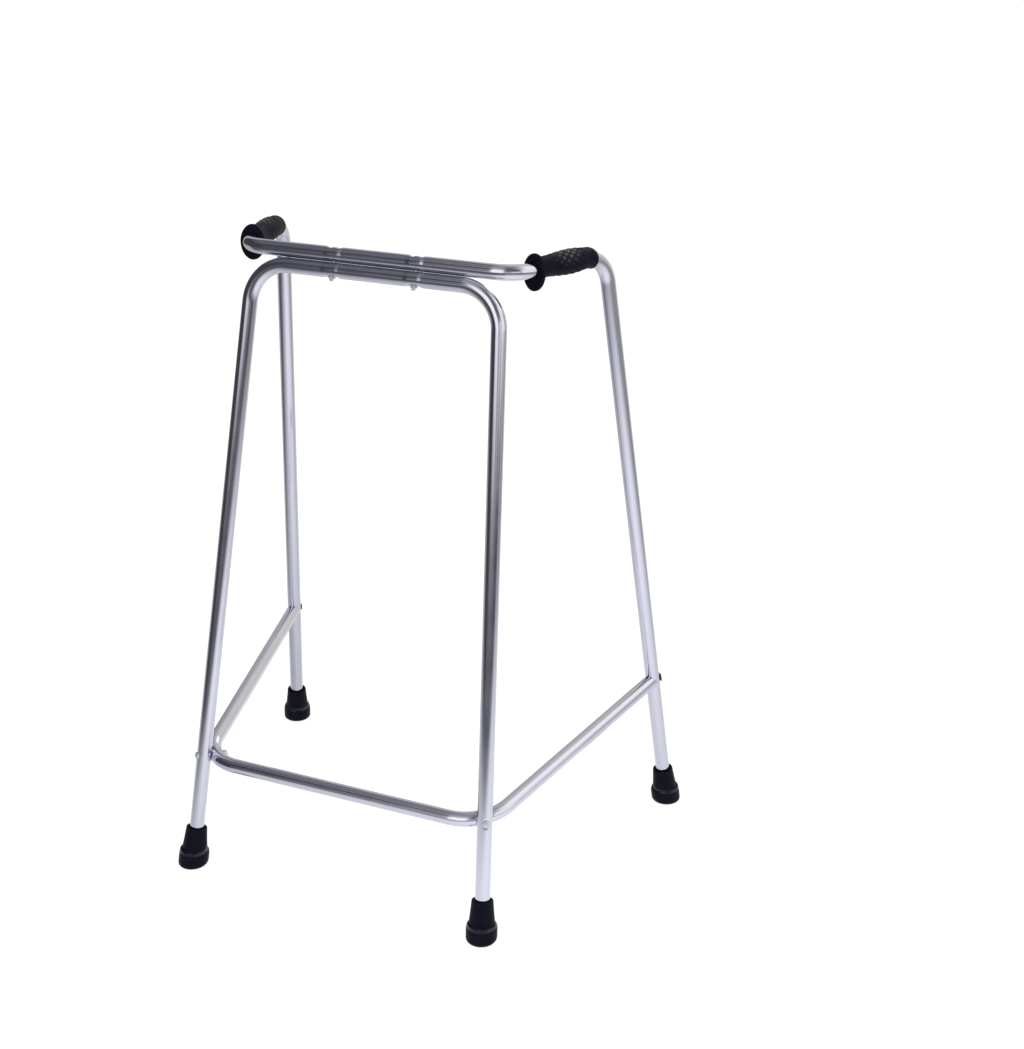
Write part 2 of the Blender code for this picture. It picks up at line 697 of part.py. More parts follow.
def grip_section(distance):
    """Half width, half height and rise of the grip's outline at a distance."""
    swell = ease((distance - NECK_END) / (BELLY_AT - NECK_END))
    swell *= 1.0 - ease((distance - BELLY_AT) / (BELLY_END - BELLY_AT))
    share = ease((distance - NECK_END) / (BELLY_END - NECK_END))
    plain_width = NECK_HALF_WIDTH + (TAIL_RADIUS - NECK_HALF_WIDTH) * share
    plain_height = NECK_RADIUS + (TAIL_RADIUS - NECK_RADIUS) * share
    half_width = plain_width + (BELLY_HALF_WIDTH - plain_width) * swell
    half_height = plain_height + (BELLY_HALF_HEIGHT - plain_height) * swell
    settle = ease((distance - BELLY_END + TAIL_EDGE) / (GRIP_LENGTH - BELLY_END + TAIL_EDGE))
    return half_width, half_height, GRIP_RISE * (1.0 - settle)


def stop_stations():
    """Rings of the hand stop: rounded front edge, rounded back edge, then a short cone."""
    stations = []
    for centre, first, last in ((STOP_EDGE, math.pi, math.pi / 2.0),
                                (STOP_THICKNESS - STOP_EDGE, math.pi / 2.0, 0.0)):
        for step in range(STOP_EDGE_STEPS + 1):
            turn = first + (last - first) * step / STOP_EDGE_STEPS
            inset = STOP_EDGE * (1.0 - math.sin(turn))
            stations.append((centre + STOP_EDGE * math.cos(turn), STOP_HALF_WIDTH - inset,
                             STOP_HALF_HEIGHT - inset, -STOP_DROP))
    rim_width = STOP_HALF_WIDTH - STOP_EDGE
    rim_height = STOP_HALF_HEIGHT - STOP_EDGE
    for step in range(1, STOP_CONE_STEPS + 1):
        share = step / STOP_CONE_STEPS
        keep = (1.0 - share) ** 2
        stations.append((STOP_THICKNESS + STOP_CONE * share * share,
                         NECK_HALF_WIDTH + (rim_width - NECK_HALF_WIDTH) * keep,
                         NECK_RADIUS + (rim_height - NECK_RADIUS) * keep,
                         GRIP_RISE - (GRIP_RISE + STOP_DROP) * keep))
    return stations


def grip_outline():
    """Stations of the grip: distance, half width, half height and rise of each ring."""
    stations = stop_stations()
    tail = GRIP_LENGTH - TAIL_EDGE
    distance = STOP_THICKNESS + STOP_CONE + NUB_PITCH
    while distance < tail - NUB_PITCH / 2.0:
        stations.append((distance, *grip_section(distance)))
        distance += NUB_PITCH
    for step in range(TAIL_EDGE_STEPS + 1):
        turn = math.pi / 2.0 * step / TAIL_EDGE_STEPS
        distance = tail + TAIL_EDGE * math.sin(turn)
        radius = TAIL_RIM_RADIUS + (TAIL_RADIUS - TAIL_RIM_RADIUS) * math.cos(turn)
        stations.append((distance, radius, radius, grip_section(distance)[2]))
    return stations


def grip_ring(side, station, row):
    """One ring of the grip; between nub start and end every other point stands out."""
    distance, half_width, half_height, rise = station
    centre, along = rail_frame(distance)
    upward = (UP - along * UP.dot(along)).normalized()
    outward = along.cross(upward)
    ring = []
    for column in range(GRIP_COLUMNS):
        turn = 2.0 * math.pi * column / GRIP_COLUMNS
        nub = NUB_HEIGHT if NUB_START < distance < NUB_END and (row + column) % 2 else 0.0
        point = centre + upward * rise
        point += outward * ((half_width + nub) * math.cos(turn))
        point += upward * ((half_height + nub) * math.sin(turn))
        ring.append(for_side(side, point))
    return ring


def build_grips(kit):
    """Moulded grips: oval hand stop, neck, belly with diamond nubs, rounded tail."""
    bore = TUBE_RADIUS + FIT_GAP
    stations = grip_outline()
    distances = [station[0] for station in stations]
    bore_rows = distances[:-1:GRIP_BORE_STEPS] + distances[-1:]
    for side, word in ((-1, "left"), (1, "right")):
        outer = [grip_ring(side, station, row) for row, station in enumerate(stations)]
        inner = [grip_ring(side, (distance, bore, bore, 0.0), 0) for distance in bore_rows]
        rings = outer + list(reversed(inner))
        ring_loft("grip_" + word, rings, kit, kit.vinyl)


# Assembly

class Kit:
    """Collections, materials and shared pieces of the frame."""


def centre_on_floor(kit):
    """Move the whole frame so that the origin lies under the middle of its box."""
    bpy.context.view_layer.update()
    graph = bpy.context.evaluated_depsgraph_get()
    ys = []
    for made in kit.parts.objects:
        shape = made.evaluated_get(graph)
        ys += [(shape.matrix_world @ Vector(corner)).y for corner in shape.bound_box]
    kit.root.location.y = -(min(ys) + max(ys)) / 2.0


def main():
    clear_scene()
    kit = Kit()
    kit.parts = make_collection("walking_frame")
    kit.cutters = make_collection("cutters")
    kit.root = bpy.data.objects.new("walking_frame_origin", None)
    bpy.context.scene.collection.objects.link(kit.root)
    kit.metal = make_material("anodised_aluminium", (0.62, 0.62, 0.68), 1.0, 0.28)
    kit.steel = make_material("zinc_plated_steel", (0.55, 0.56, 0.58), 1.0, 0.35)
    kit.rubber = make_material("black_rubber", (0.010, 0.010, 0.012), 0.0, 0.6)
    kit.vinyl = make_material("black_vinyl", (0.014, 0.014, 0.018), 0.0, 0.4)
    kit.plug = make_material("nylon_plug", (0.04, 0.04, 0.045), 0.0, 0.5)
    kit.front_frame = build_front_frame(kit)
    kit.handle_frame = build_handle_frame(kit)
    kit.brace = build_brace(kit)
    build_top_fixings(kit)
    build_front_fixings(kit)
    build_rear_fixings(kit)
    for side, word in ((-1, "left"), (1, "right")):
        build_foot("front_" + word, for_side(side, FRONT_FOOT), for_side(side, FRONT_LEG), kit)
        build_foot("rear_" + word, for_side(side, REAR_FOOT), for_side(side, REAR_LEG), kit)
    build_grips(kit)
    centre_on_floor(kit)


main()
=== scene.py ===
"""A rigid walking frame of bright anodised tube, dressed for a plain studio picture.

Lengths are written in millimetres and turned to metres when a mesh is made, and the studio's
are in metres. The closed front of the frame faces -Y and the user stands at +Y. The left side
is the mirror image of the right.
"""
import math

import bmesh
import bpy
import numpy as np
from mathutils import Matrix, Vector


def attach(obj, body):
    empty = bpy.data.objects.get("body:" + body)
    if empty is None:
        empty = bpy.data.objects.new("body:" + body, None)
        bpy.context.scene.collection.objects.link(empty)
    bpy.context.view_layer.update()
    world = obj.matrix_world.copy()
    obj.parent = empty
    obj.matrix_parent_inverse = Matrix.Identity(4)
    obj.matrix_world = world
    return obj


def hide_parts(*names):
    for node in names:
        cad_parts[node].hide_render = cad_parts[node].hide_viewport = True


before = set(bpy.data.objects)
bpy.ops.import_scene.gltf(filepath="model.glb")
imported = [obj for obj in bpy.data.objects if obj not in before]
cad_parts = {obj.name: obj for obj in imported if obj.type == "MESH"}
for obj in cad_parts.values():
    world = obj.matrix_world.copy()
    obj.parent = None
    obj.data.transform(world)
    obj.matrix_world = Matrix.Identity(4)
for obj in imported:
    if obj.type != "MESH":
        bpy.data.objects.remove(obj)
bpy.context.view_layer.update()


# Front frame: one length of 19 mm aluminium tube, bent to a wide upside-down U and bright
# anodised. Two bolts clamp its cross bar under the handle frame's, and pull a dent in each place.

MM = 0.001
ACROSS = np.array([1.0, 0.0, 0.0])
UPWARD = np.array([0.0, 0.0, 1.0])
MIRROR = np.array([-1.0, 1.0, 1.0])

TUBE_RADIUS = 9.525
TUBE_WALL = 1.4
SEAT_GAP = 0.3
TUBE_COLUMNS = 48
RING_STEP, BEND_STEP, DENT_STEP = 16.0, 1.6, 0.8
LEAST_STEP = 0.3
DENT_REACH = 16.0
BULGE = 0.10
POLE_GAP = 1e-6
SHARP_ANGLE = math.radians(38)

FRONT_FEET_Y = -212.30
FRONT_FOOT = np.array([212.7, FRONT_FEET_Y, 0.0])
LEG_END = 11.2
CROSS_HEIGHT = 805.0
STACK_TILT = math.radians(23.0)
STACK_UP = np.array([0.0, math.sin(STACK_TILT), math.cos(STACK_TILT)])
STACK_SPACING = 2 * TUBE_RADIUS + SEAT_GAP
FRONT_CORNER = np.array([168.0, FRONT_FEET_Y + 156.5, CROSS_HEIGHT - STACK_SPACING * STACK_UP[2]])
FRONT_BEND = 52.0

BAR_BOLT_HALF = 56.0
BAR_DENT_FLAT, BAR_DENT_TAPER = 6.0, 7.0
LOWER_DENT = 2.4
LEG_DENT, LEG_DENT_FLAT, LEG_DENT_TAPER = 0.5, 3.0, 5.0


def unit(vector):
    """The vector divided by its length, along the last axis."""
    return vector / np.linalg.norm(vector, axis=-1, keepdims=True)


def centre_line(corners, radii):
    """Runs and bends of a tube: start along the line, point, direction, inward normal, curvature.

    A bend of radius r and turning angle w leaves its run r tan(w / 2) before the corner.
    """
    rows, here, travelled = [], corners[0], 0.0
    for before, corner, after, radius in zip(corners, corners[1:], corners[2:], radii):
        ahead, beyond = unit(corner - before), unit(after - corner)
        turn = math.acos(float(ahead @ beyond))
        trim = radius * math.tan(turn / 2)
        run = np.linalg.norm(corner - here) - trim
        rows.append((travelled, here, ahead, 0 * ahead, 0.0))
        travelled += run
        inward = unit(beyond - ahead * (ahead @ beyond))
        rows.append((travelled, here + ahead * run, ahead, inward, 1 / radius))
        travelled += radius * turn
        here = corner + beyond * trim
    rows.append((travelled, here, unit(corners[-1] - here), 0 * here, 0.0))
    length = travelled + np.linalg.norm(corners[-1] - here)
    starts, points, directions, inwards, curvatures = map(np.array, zip(*rows))
    return dict(length=length, starts=starts, points=points, directions=directions,
                inwards=inwards, curvatures=curvatures)


def along_line(line, distance):
    """Point and direction at each distance: p + d sin(kx) / k + n (1 - cos(kx)) / k on a bend
    of curvature k that began x ago, which becomes p + d x on a straight run, where k is 0."""
    row = np.clip(np.searchsorted(line["starts"], distance, side="right") - 1, 0, None)
    past = (distance - line["starts"][row])[:, None]
    bend = line["curvatures"][row][:, None]
    direction, inward = line["directions"][row], line["inwards"][row]
    half = bend * past / 2
    point = (line["points"][row] + direction * past * np.sinc(bend * past / math.pi)
             + inward * past * np.sin(half) * np.sinc(half / math.pi))
    return point, direction * np.cos(bend * past) + inward * np.sin(bend * past)


def nearest(line, point):
    """How far along the line, to 0.1 mm, it passes closest to a point."""
    trial = np.arange(0.0, line["length"], 0.1)
    return float(trial[np.argmin(np.linalg.norm(along_line(line, trial)[0] - point, axis=1))])


def stations(line, fine_at):
    """Distances of a tube's rings: wide steps on runs, short ones in bends and round the dents,
    with rings left out where they come closer than the least step."""
    coarse = np.append(np.arange(0.0, line["length"], RING_STEP), line["length"])
    bent = [np.arange(start, stop, BEND_STEP) for start, stop, bend
            in zip(line["starts"], line["starts"][1:], line["curvatures"]) if bend]
    dents = [nearest(line, point) + np.arange(-DENT_REACH, DENT_REACH + 0.1, DENT_STEP)
             for point in fine_at]
    every = np.unique(np.round(np.concatenate([coarse, *bent, *dents]), 2))
    return every[np.append(True, np.diff(every) > LEAST_STEP)]


def tube_rings(line, distance, radius, side_hint):
    """Rings around a centre line: c + r (cos(a) s + sin(a) t x s), where s is the hint made
    square to the line's direction t, and a goes once round in equal steps."""
    centre, direction = along_line(line, distance)
    side = unit(side_hint - direction * (direction @ side_hint)[:, None])
    other = np.cross(direction, side)
    angle = np.linspace(0, 2 * math.pi, TUBE_COLUMNS, endpoint=False)[None, :, None]
    spoke = np.cos(angle) * side[:, None] + np.sin(angle) * other[:, None]
    return centre[:, None] + radius * spoke


def press(rings, centre, outward, lengthwise, depth, flat, taper, radius):
    """A dent: nothing stands further out than radius - depth f, where f is 1 over the flat and
    falls as half a cosine over the taper. The metal pushed in spreads: a point at s to the side
    moves on by bulge x depth f s / radius."""
    offset = rings - centre
    distance = np.abs(offset @ lengthwise)
    fade = 0.5 + 0.5 * np.cos(math.pi * np.clip((distance - flat) / taper, 0, 1))
    near = (distance < flat + taper) & (np.linalg.norm(offset, axis=-1) < distance + 2 * radius)
    sideways = np.cross(outward, lengthwise)
    bulge = BULGE * depth * fade * (offset @ sideways) / radius
    excess = np.maximum(offset @ outward - (radius - depth * fade), 0) * near
    return rings - excess[..., None] * outward + (bulge * near)[..., None] * sideways


def grid_faces(rows, columns, joined):
    """Corner indices of the quads between neighbouring rings, and from the last to the first."""
    row, column = np.meshgrid(np.arange(rows if joined else rows - 1), np.arange(columns),
                              indexing="ij")
    below, beside = (row + 1) % rows, (column + 1) % columns
    return np.stack([row * columns + column, row * columns + beside,
                     below * columns + beside, below * columns + column], -1).reshape(-1, 4)


def make_piece(name, rings, finish, stands_for, uv=None, joined=False):
    """A closed piece from a grid of points in millimetres, riding on the frame, in place of CAD
    nodes. Its map, where it has one, is each ring's distance along and the step round a ring.
    Points that meet at a pole are merged, and faces are turned to point outwards."""
    rows, columns = rings.shape[:2]
    faces = grid_faces(rows, columns, joined)
    mesh = bpy.data.meshes.new(name)
    mesh.from_pydata((rings * MM).reshape(-1, 3), [], faces.tolist())
    if uv is not None:
        along, around = uv
        ring, column = np.divmod(np.arange(len(faces)), columns)
        along = np.append(along, along[0])
        u, u_next = along[ring][:, None], along[ring + 1][:, None]
        v = (column * around)[:, None]
        corners = np.stack([np.hstack([u, u, u_next, u_next]),
                            np.hstack([v, v + around, v + around, v])], -1)
        layer = mesh.uv_layers.new(name="drawn")
        layer.data.foreach_set("uv", (corners * MM).reshape(-1).astype(np.float32))
    shape = bmesh.new()
    shape.from_mesh(mesh)
    bmesh.ops.remove_doubles(shape, verts=shape.verts, dist=POLE_GAP)
    bmesh.ops.recalc_face_normals(shape, faces=shape.faces)
    shape.to_mesh(mesh)
    shape.free()
    mesh.shade_smooth()
    mesh.set_sharp_from_angle(angle=SHARP_ANGLE)
    piece = bpy.data.objects.new(name, mesh)
    bpy.context.scene.collection.objects.link(piece)
    mesh.materials.append(finish)
    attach(piece, "root")
    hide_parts(*stands_for)


def hex_colour(code):
    """Linear red, green, blue and alpha of an sRGB hex colour."""
    srgb = np.array([int(code[i:i + 2], 16) for i in (1, 3, 5)]) / 255
    linear = np.where(srgb <= 0.04045, srgb / 12.92, ((srgb + 0.055) / 1.055) ** 2.4)
    return (*linear.tolist(), 1.0)


def add(tree, kind, links=(), **settings):
    """One shader node with its settings, and its input sockets set or linked by name or number."""
    node = tree.nodes.new(kind)
    for key, value in settings.items():
        setattr(node, key, value)
    for socket, value in dict(links).items():
        if isinstance(value, bpy.types.NodeSocket):
            tree.links.new(value, node.inputs[socket])
        else:
            node.inputs[socket].default_value = value
    return node


def cells(size):
    """The scale at which noise on metres has cells of this size in millimetres."""
    return 1 / (size * MM)


def new_finish(name):
    """A material, its node tree and its Principled shader."""
    finish = bpy.data.materials.new(name)
    finish.use_nodes = True
    return finish, finish.node_tree, finish.node_tree.nodes["Principled BSDF"]


def bright_anodised_aluminium():
    """Drawn tube, dipped bright and anodised clear: a cool, slightly milky mirror. Handling leaves
    duller patches, and the drawing die faint lines along the tube. Real lines are too fine to
    show, so these lie 0.3 mm apart."""
    finish, tree, skin = new_finish("bright_anodised_aluminium")
    drawn = add(tree, "ShaderNodeUVMap", uv_map="drawn").outputs["UV"]
    lines = add(tree, "ShaderNodeMapping", {"Vector": drawn,
                                            "Scale": (cells(167), cells(0.303), 1.0)})
    streaks = add(tree, "ShaderNodeTexNoise", {"Vector": lines.outputs[0], "Scale": 1.0,
                                               "Detail": 3.0, "Roughness": 0.6})
    place = add(tree, "ShaderNodeTexCoord").outputs["Object"]
    patches = add(tree, "ShaderNodeTexNoise", {"Vector": place, "Scale": cells(45.5),
                                               "Detail": 4.0, "Roughness": 0.55})
    tone = add(tree, "ShaderNodeMix", {"Factor": patches.outputs["Fac"],
                                       6: hex_colour("#D3D4E3"), 7: hex_colour("#DEDFEB")},
               data_type="RGBA")
    dull = add(tree, "ShaderNodeMapRange", {"Value": patches.outputs["Fac"], "From Min": 0.3,
                                            "From Max": 0.75, "To Min": 0.08, "To Max": 0.14})
    lined = add(tree, "ShaderNodeMath", {0: streaks.outputs["Fac"], 1: 0.05}, operation="MULTIPLY")
    rough = add(tree, "ShaderNodeMath", {0: dull.outputs[0], 1: lined.outputs[0]}, operation="ADD")
    relief = add(tree, "ShaderNodeBump", {"Height": streaks.outputs["Fac"], "Strength": 0.12,
                                          "Distance": 0.02 * MM})
    tree.links.new(tone.outputs[2], skin.inputs["Base Color"])
    tree.links.new(rough.outputs[0], skin.inputs["Roughness"])
    tree.links.new(relief.outputs[0], skin.inputs["Normal"])
    skin.inputs["Metallic"].default_value = 1.0
    return finish


def both_sides(right_points):
    """Corners of a line from the left foot over the middle to the right foot."""
    return [point * MIRROR for point in right_points] + list(right_points)[::-1]


def for_side(side, point):
    """A point or direction of the right side, or its mirror image for the left."""
    return point if side > 0 else point * MIRROR


def make_tube(name, line, fine_at, side_hint, dents, node):
    """The skin's rings forwards, then every third one backwards for the bore, so that the last
    ring joins the first and the wall is closed at both cut ends."""
    out = stations(line, fine_at)
    back = out[::-3]
    back = np.append(back, 0.0) if back[-1] > 0 else back
    skin = tube_rings(line, out, TUBE_RADIUS, side_hint)
    bore = tube_rings(line, back, TUBE_RADIUS - TUBE_WALL, side_hint)
    for dent in dents:
        skin = press(skin, *dent, TUBE_RADIUS)
        bore = press(bore, *dent, TUBE_RADIUS - TUBE_WALL)
    uv = (np.append(out, back), 2 * math.pi * TUBE_RADIUS / TUBE_COLUMNS)
    make_piece(name, np.concatenate([skin, bore]), tube_finish, [node], uv,
               joined=True)


FRONT_LEG = unit(FRONT_CORNER - FRONT_FOOT)
BOLT_IN_LEG = np.array([204.18, FRONT_FEET_Y + 29.84, 150.11])
BOLT_OUT = unit(np.array([0.6010, -0.7767, 0.1885]))

tube_finish = bright_anodised_aluminium()
front_line = centre_line(both_sides([FRONT_FOOT + FRONT_LEG * LEG_END, FRONT_CORNER]),
                         (FRONT_BEND, FRONT_BEND))
lower_bolts = [np.array([side * BAR_BOLT_HALF, *FRONT_CORNER[1:]]) for side in (-1, 1)]
leg_bolts = [for_side(side, BOLT_IN_LEG) for side in (-1, 1)]
front_dents = [(point, -STACK_UP, ACROSS, LOWER_DENT, BAR_DENT_FLAT, BAR_DENT_TAPER)
               for point in lower_bolts]
front_dents += [(point, for_side(side, BOLT_OUT), for_side(side, FRONT_LEG),
                 LEG_DENT, LEG_DENT_FLAT, LEG_DENT_TAPER)
                for side, point in zip((-1, 1), leg_bolts)]
make_tube("front_frame", front_line, lower_bolts + leg_bolts,
          np.cross(ACROSS, FRONT_LEG), front_dents, "front_frame_tube")


# Handle frame: a second length of the same tube makes the rear legs, the rails under the grips
# and the upper cross bar. Bolt heads sink into two dents on its top.

CROSS_CORNER = np.array([185.0, FRONT_CORNER[1] + STACK_SPACING * STACK_UP[1], CROSS_HEIGHT])
CROSS_BEND = 40.0
REAR_FOOT = np.array([302.6, FRONT_FEET_Y + 421.4, 0.0])
REAR_CORNER = np.array([230.5, CROSS_CORNER[1] + 165.0, CROSS_HEIGHT - 8.5])
REAR_BEND = 42.0
REAR_LEG = unit(REAR_CORNER - REAR_FOOT)
UPPER_DENT = 2.9
HANDLE_HINT = np.array([-0.5, 0.5, 0.7])

handle_line = centre_line(
    both_sides([REAR_FOOT + REAR_LEG * LEG_END, REAR_CORNER, CROSS_CORNER]),
    (REAR_BEND, CROSS_BEND, CROSS_BEND, REAR_BEND))
upper_bolts = [point + STACK_UP * STACK_SPACING for point in lower_bolts]
handle_dents = [(point, STACK_UP, ACROSS, UPPER_DENT, BAR_DENT_FLAT, BAR_DENT_TAPER)
                for point in upper_bolts]
make_tube("handle_frame", handle_line, upper_bolts, HANDLE_HINT, handle_dents,
          "handle_frame_tube")


# Lower brace: a U of the same tube. Its bends lie inside the front legs, where they are pinched
# and bolted through, and its ends are cut to a fish mouth that fits round the rear legs.

BRACE_CORNER = np.array([204.09, FRONT_FEET_Y + 29.29, 145.06])
BRACE_BEND = 60.0
BRACE_END_HEIGHT = 195.0
BRACE_END = REAR_FOOT + REAR_LEG * (BRACE_END_HEIGHT / REAR_LEG[2])
BRACE_SIDE = unit(BRACE_END - BRACE_CORNER)
BOLT_IN_BRACE = np.array([193.99, FRONT_FEET_Y + 43.01, 146.92])
PINCH, PINCH_FLAT, PINCH_TAPER = 2.4, 1.0, 11.0
NUT_DENT, NUT_DENT_FLAT, NUT_DENT_TAPER = 1.2, 6.0, 4.0
COPE_RADIUS = TUBE_RADIUS + SEAT_GAP
COPE_RUN = 14.0


def cope(rings, direction, leg_point, leg):
    """Rings slid along the tube's direction d until they lie on the leg's cylinder: the nearer
    root x of |w + x v| = cope radius, with w and v the offset and d made square to the leg."""
    offset = rings - leg_point
    w = offset - (offset @ leg)[..., None] * leg
    v = direction - (direction @ leg) * leg
    b, c = w @ v, (w * w).sum(-1) - COPE_RADIUS ** 2
    shift = (-b - np.sqrt(np.maximum(b * b - (v @ v) * c, 0))) / (v @ v)
    return rings + shift[..., None] * direction


def make_brace():
    """The brace's skin and bore as for the other tubes, but with no ring on the last stretch
    before each end, so that the coped end rings stay clear of the next ones."""
    line = centre_line(both_sides([BRACE_END, BRACE_CORNER]), (BRACE_BEND, BRACE_BEND))
    out = stations(line, [for_side(side, BOLT_IN_BRACE) for side in (-1, 1)])
    out = out[(out > COPE_RUN) & (out < line["length"] - COPE_RUN)]
    out = np.concatenate([[0.0], out, [line["length"]]])
    back = np.concatenate([out[:1], out[1:-1:3], out[-1:]])[::-1]
    skin = tube_rings(line, out, TUBE_RADIUS, UPWARD)
    bore = tube_rings(line, back, TUBE_RADIUS - TUBE_WALL, UPWARD)
    for side in (-1, 1):
        outward = for_side(side, BOLT_OUT)
        lengthwise = unit(np.cross(outward, for_side(side, FRONT_LEG)))
        centre = for_side(side, BOLT_IN_BRACE)
        for radius, rings in ((TUBE_RADIUS, skin), (TUBE_RADIUS - TUBE_WALL, bore)):
            rings[:] = press(rings, centre, outward, lengthwise,
                             PINCH, PINCH_FLAT, PINCH_TAPER, radius)
            rings[:] = press(rings, centre, -outward, lengthwise,
                             NUT_DENT, NUT_DENT_FLAT, NUT_DENT_TAPER, radius)
    for rings, left, right in ((skin, 0, -1), (bore, -1, 0)):
        for row, side in ((left, -1), (right, 1)):
            rings[row] = cope(rings[row], for_side(side, BRACE_SIDE),
                              for_side(side, BRACE_END), for_side(side, REAR_LEG))
    uv = (np.append(out, back), 2 * math.pi * TUBE_RADIUS / TUBE_COLUMNS)
    make_piece("lower_brace", np.concatenate([skin, bore]), tube_finish,
               ["lower_brace_tube"], uv, joined=True)


make_brace()


# Bolts and nuts: zinc plated steel. Thin headed bolts clamp the two cross bars, heavier ones with
# high domed heads hold the brace on the four legs.

TURNED_COLUMNS = 40
NUT_COLUMNS = 96
BAR_BOLT = dict(radius=5.5, height=1.9, rim=0.4, shank=2.5)
BRACE_BOLT = dict(radius=5.1, height=3.7, rim=0.6, shank=3.0)
HEAD_EDGE, TIP_CHAMFER = 0.15, 0.6
BAR_NUT = dict(flats=8.0, height=2.7, bore=2.8)
LEG_NUT = dict(flats=10.0, height=5.0, bore=3.3)
CORNER_CHAMFER, BORE_CHAMFER = 0.7, 0.4
FACE_CIRCLE = 1.02              # the round face of a nut, as a multiple of half its flats
BAR_BOLT_TIP = 4.0
LEG_BOLT_TIP = 6.5
HEAD_IN_LEG = 1.2
SADDLE_WALL = 2.8
BOLT_IN_PLUG = 18.0


def frame_of(direction):
    """Two directions square to the given one and to each other."""
    hint = UPWARD if abs(direction[2]) < 0.8 else ACROSS
    side = unit(hint - direction * (direction @ hint))
    return side, np.cross(direction, side)


def turned_rings(profile, centre, direction, columns=TURNED_COLUMNS):
    """A turned shape: c + z d + r (cos(a) s + sin(a) t), for each radius r and height z."""
    radius, height = np.array(profile, float).T
    side, other = frame_of(direction)
    angle = np.linspace(0, 2 * math.pi, columns, endpoint=False)
    spoke = np.cos(angle)[:, None] * side + np.sin(angle)[:, None] * other
    return centre + height[:, None, None] * direction + radius[:, None, None] * spoke


def dome_profile(length, radius, height, rim, shank):
    """A domed head on a shank: an ellipse quarter above a short rim, then the shank's side."""
    turn = np.linspace(0, math.pi / 2, 11)
    head = np.stack([radius * np.sin(turn), rim + (height - rim) * np.cos(turn)], 1)
    rest = [(radius, HEAD_EDGE), (radius - HEAD_EDGE, 0.0), (shank, 0.0),
            (shank, TIP_CHAMFER - length), (shank - TIP_CHAMFER, -length), (0.0, -length)]
    return np.concatenate([head, rest])


def zinc_plated_steel():
    """Turned steel with a clear zinc coat: pale grey, milky where the coat is thick, with a faint
    blue and straw cast in cloudy patches a few millimetres wide, and a satin grain."""
    finish, tree, skin = new_finish("zinc_plated_steel")
    place = add(tree, "ShaderNodeTexCoord").outputs["Object"]
    cloud = add(tree, "ShaderNodeTexNoise", {"Vector": place, "Scale": cells(3.85),
                                             "Detail": 3.0})
    grain = add(tree, "ShaderNodeTexNoise", {"Vector": place, "Scale": cells(0.385),
                                             "Detail": 2.0})
    tone = add(tree, "ShaderNodeMix", {"Factor": cloud.outputs["Fac"],
                                       6: hex_colour("#D4D7E2"), 7: hex_colour("#E6E5E6")},
               data_type="RGBA")
    milky = add(tree, "ShaderNodeMapRange", {"Value": cloud.outputs["Fac"], "From Min": 0.3,
                                             "From Max": 0.7, "To Min": 0.70, "To Max": 0.45})
    rough = add(tree, "ShaderNodeMapRange", {"Value": cloud.outputs["Fac"], "To Min": 0.30,
                                             "To Max": 0.48})
    relief = add(tree, "ShaderNodeBump", {"Height": grain.outputs["Fac"], "Strength": 0.2,
                                          "Distance": 0.05 * MM})
    tree.links.new(tone.outputs[2], skin.inputs["Base Color"])
    tree.links.new(milky.outputs[0], skin.inputs["Metallic"])
    tree.links.new(rough.outputs[0], skin.inputs["Roughness"])
    tree.links.new(relief.outputs[0], skin.inputs["Normal"])
    return finish


def nut_rings(seat, direction, flats, height, bore):
    """A hexagon nut: the radius follows the hexagon f / (2 cos(a)) between flats, cut by the
    corner chamfer's circle near each face, and the bore runs back to the seat."""
    angle = np.linspace(0, 2 * math.pi, NUT_COLUMNS, endpoint=False)
    hexagon = flats / 2 / np.cos((angle + math.pi / 6) % (math.pi / 3) - math.pi / 6)
    circle, corner = flats / 2 * FACE_CIRCLE, flats / math.sqrt(3)
    levels = [(circle, 0.0), (corner, CORNER_CHAMFER), (corner, height - CORNER_CHAMFER),
              (circle, height), (bore + BORE_CHAMFER, height), (bore, height - BORE_CHAMFER),
              (bore, BORE_CHAMFER), (bore + BORE_CHAMFER, 0.0)]
    side, other = frame_of(direction)
    spoke = np.cos(angle)[:, None] * side + np.sin(angle)[:, None] * other
    radius = np.array([np.minimum(hexagon, limit) for limit, _ in levels])
    rise = np.array([level for _, level in levels])
    return seat + rise[:, None, None] * direction + radius[..., None] * spoke


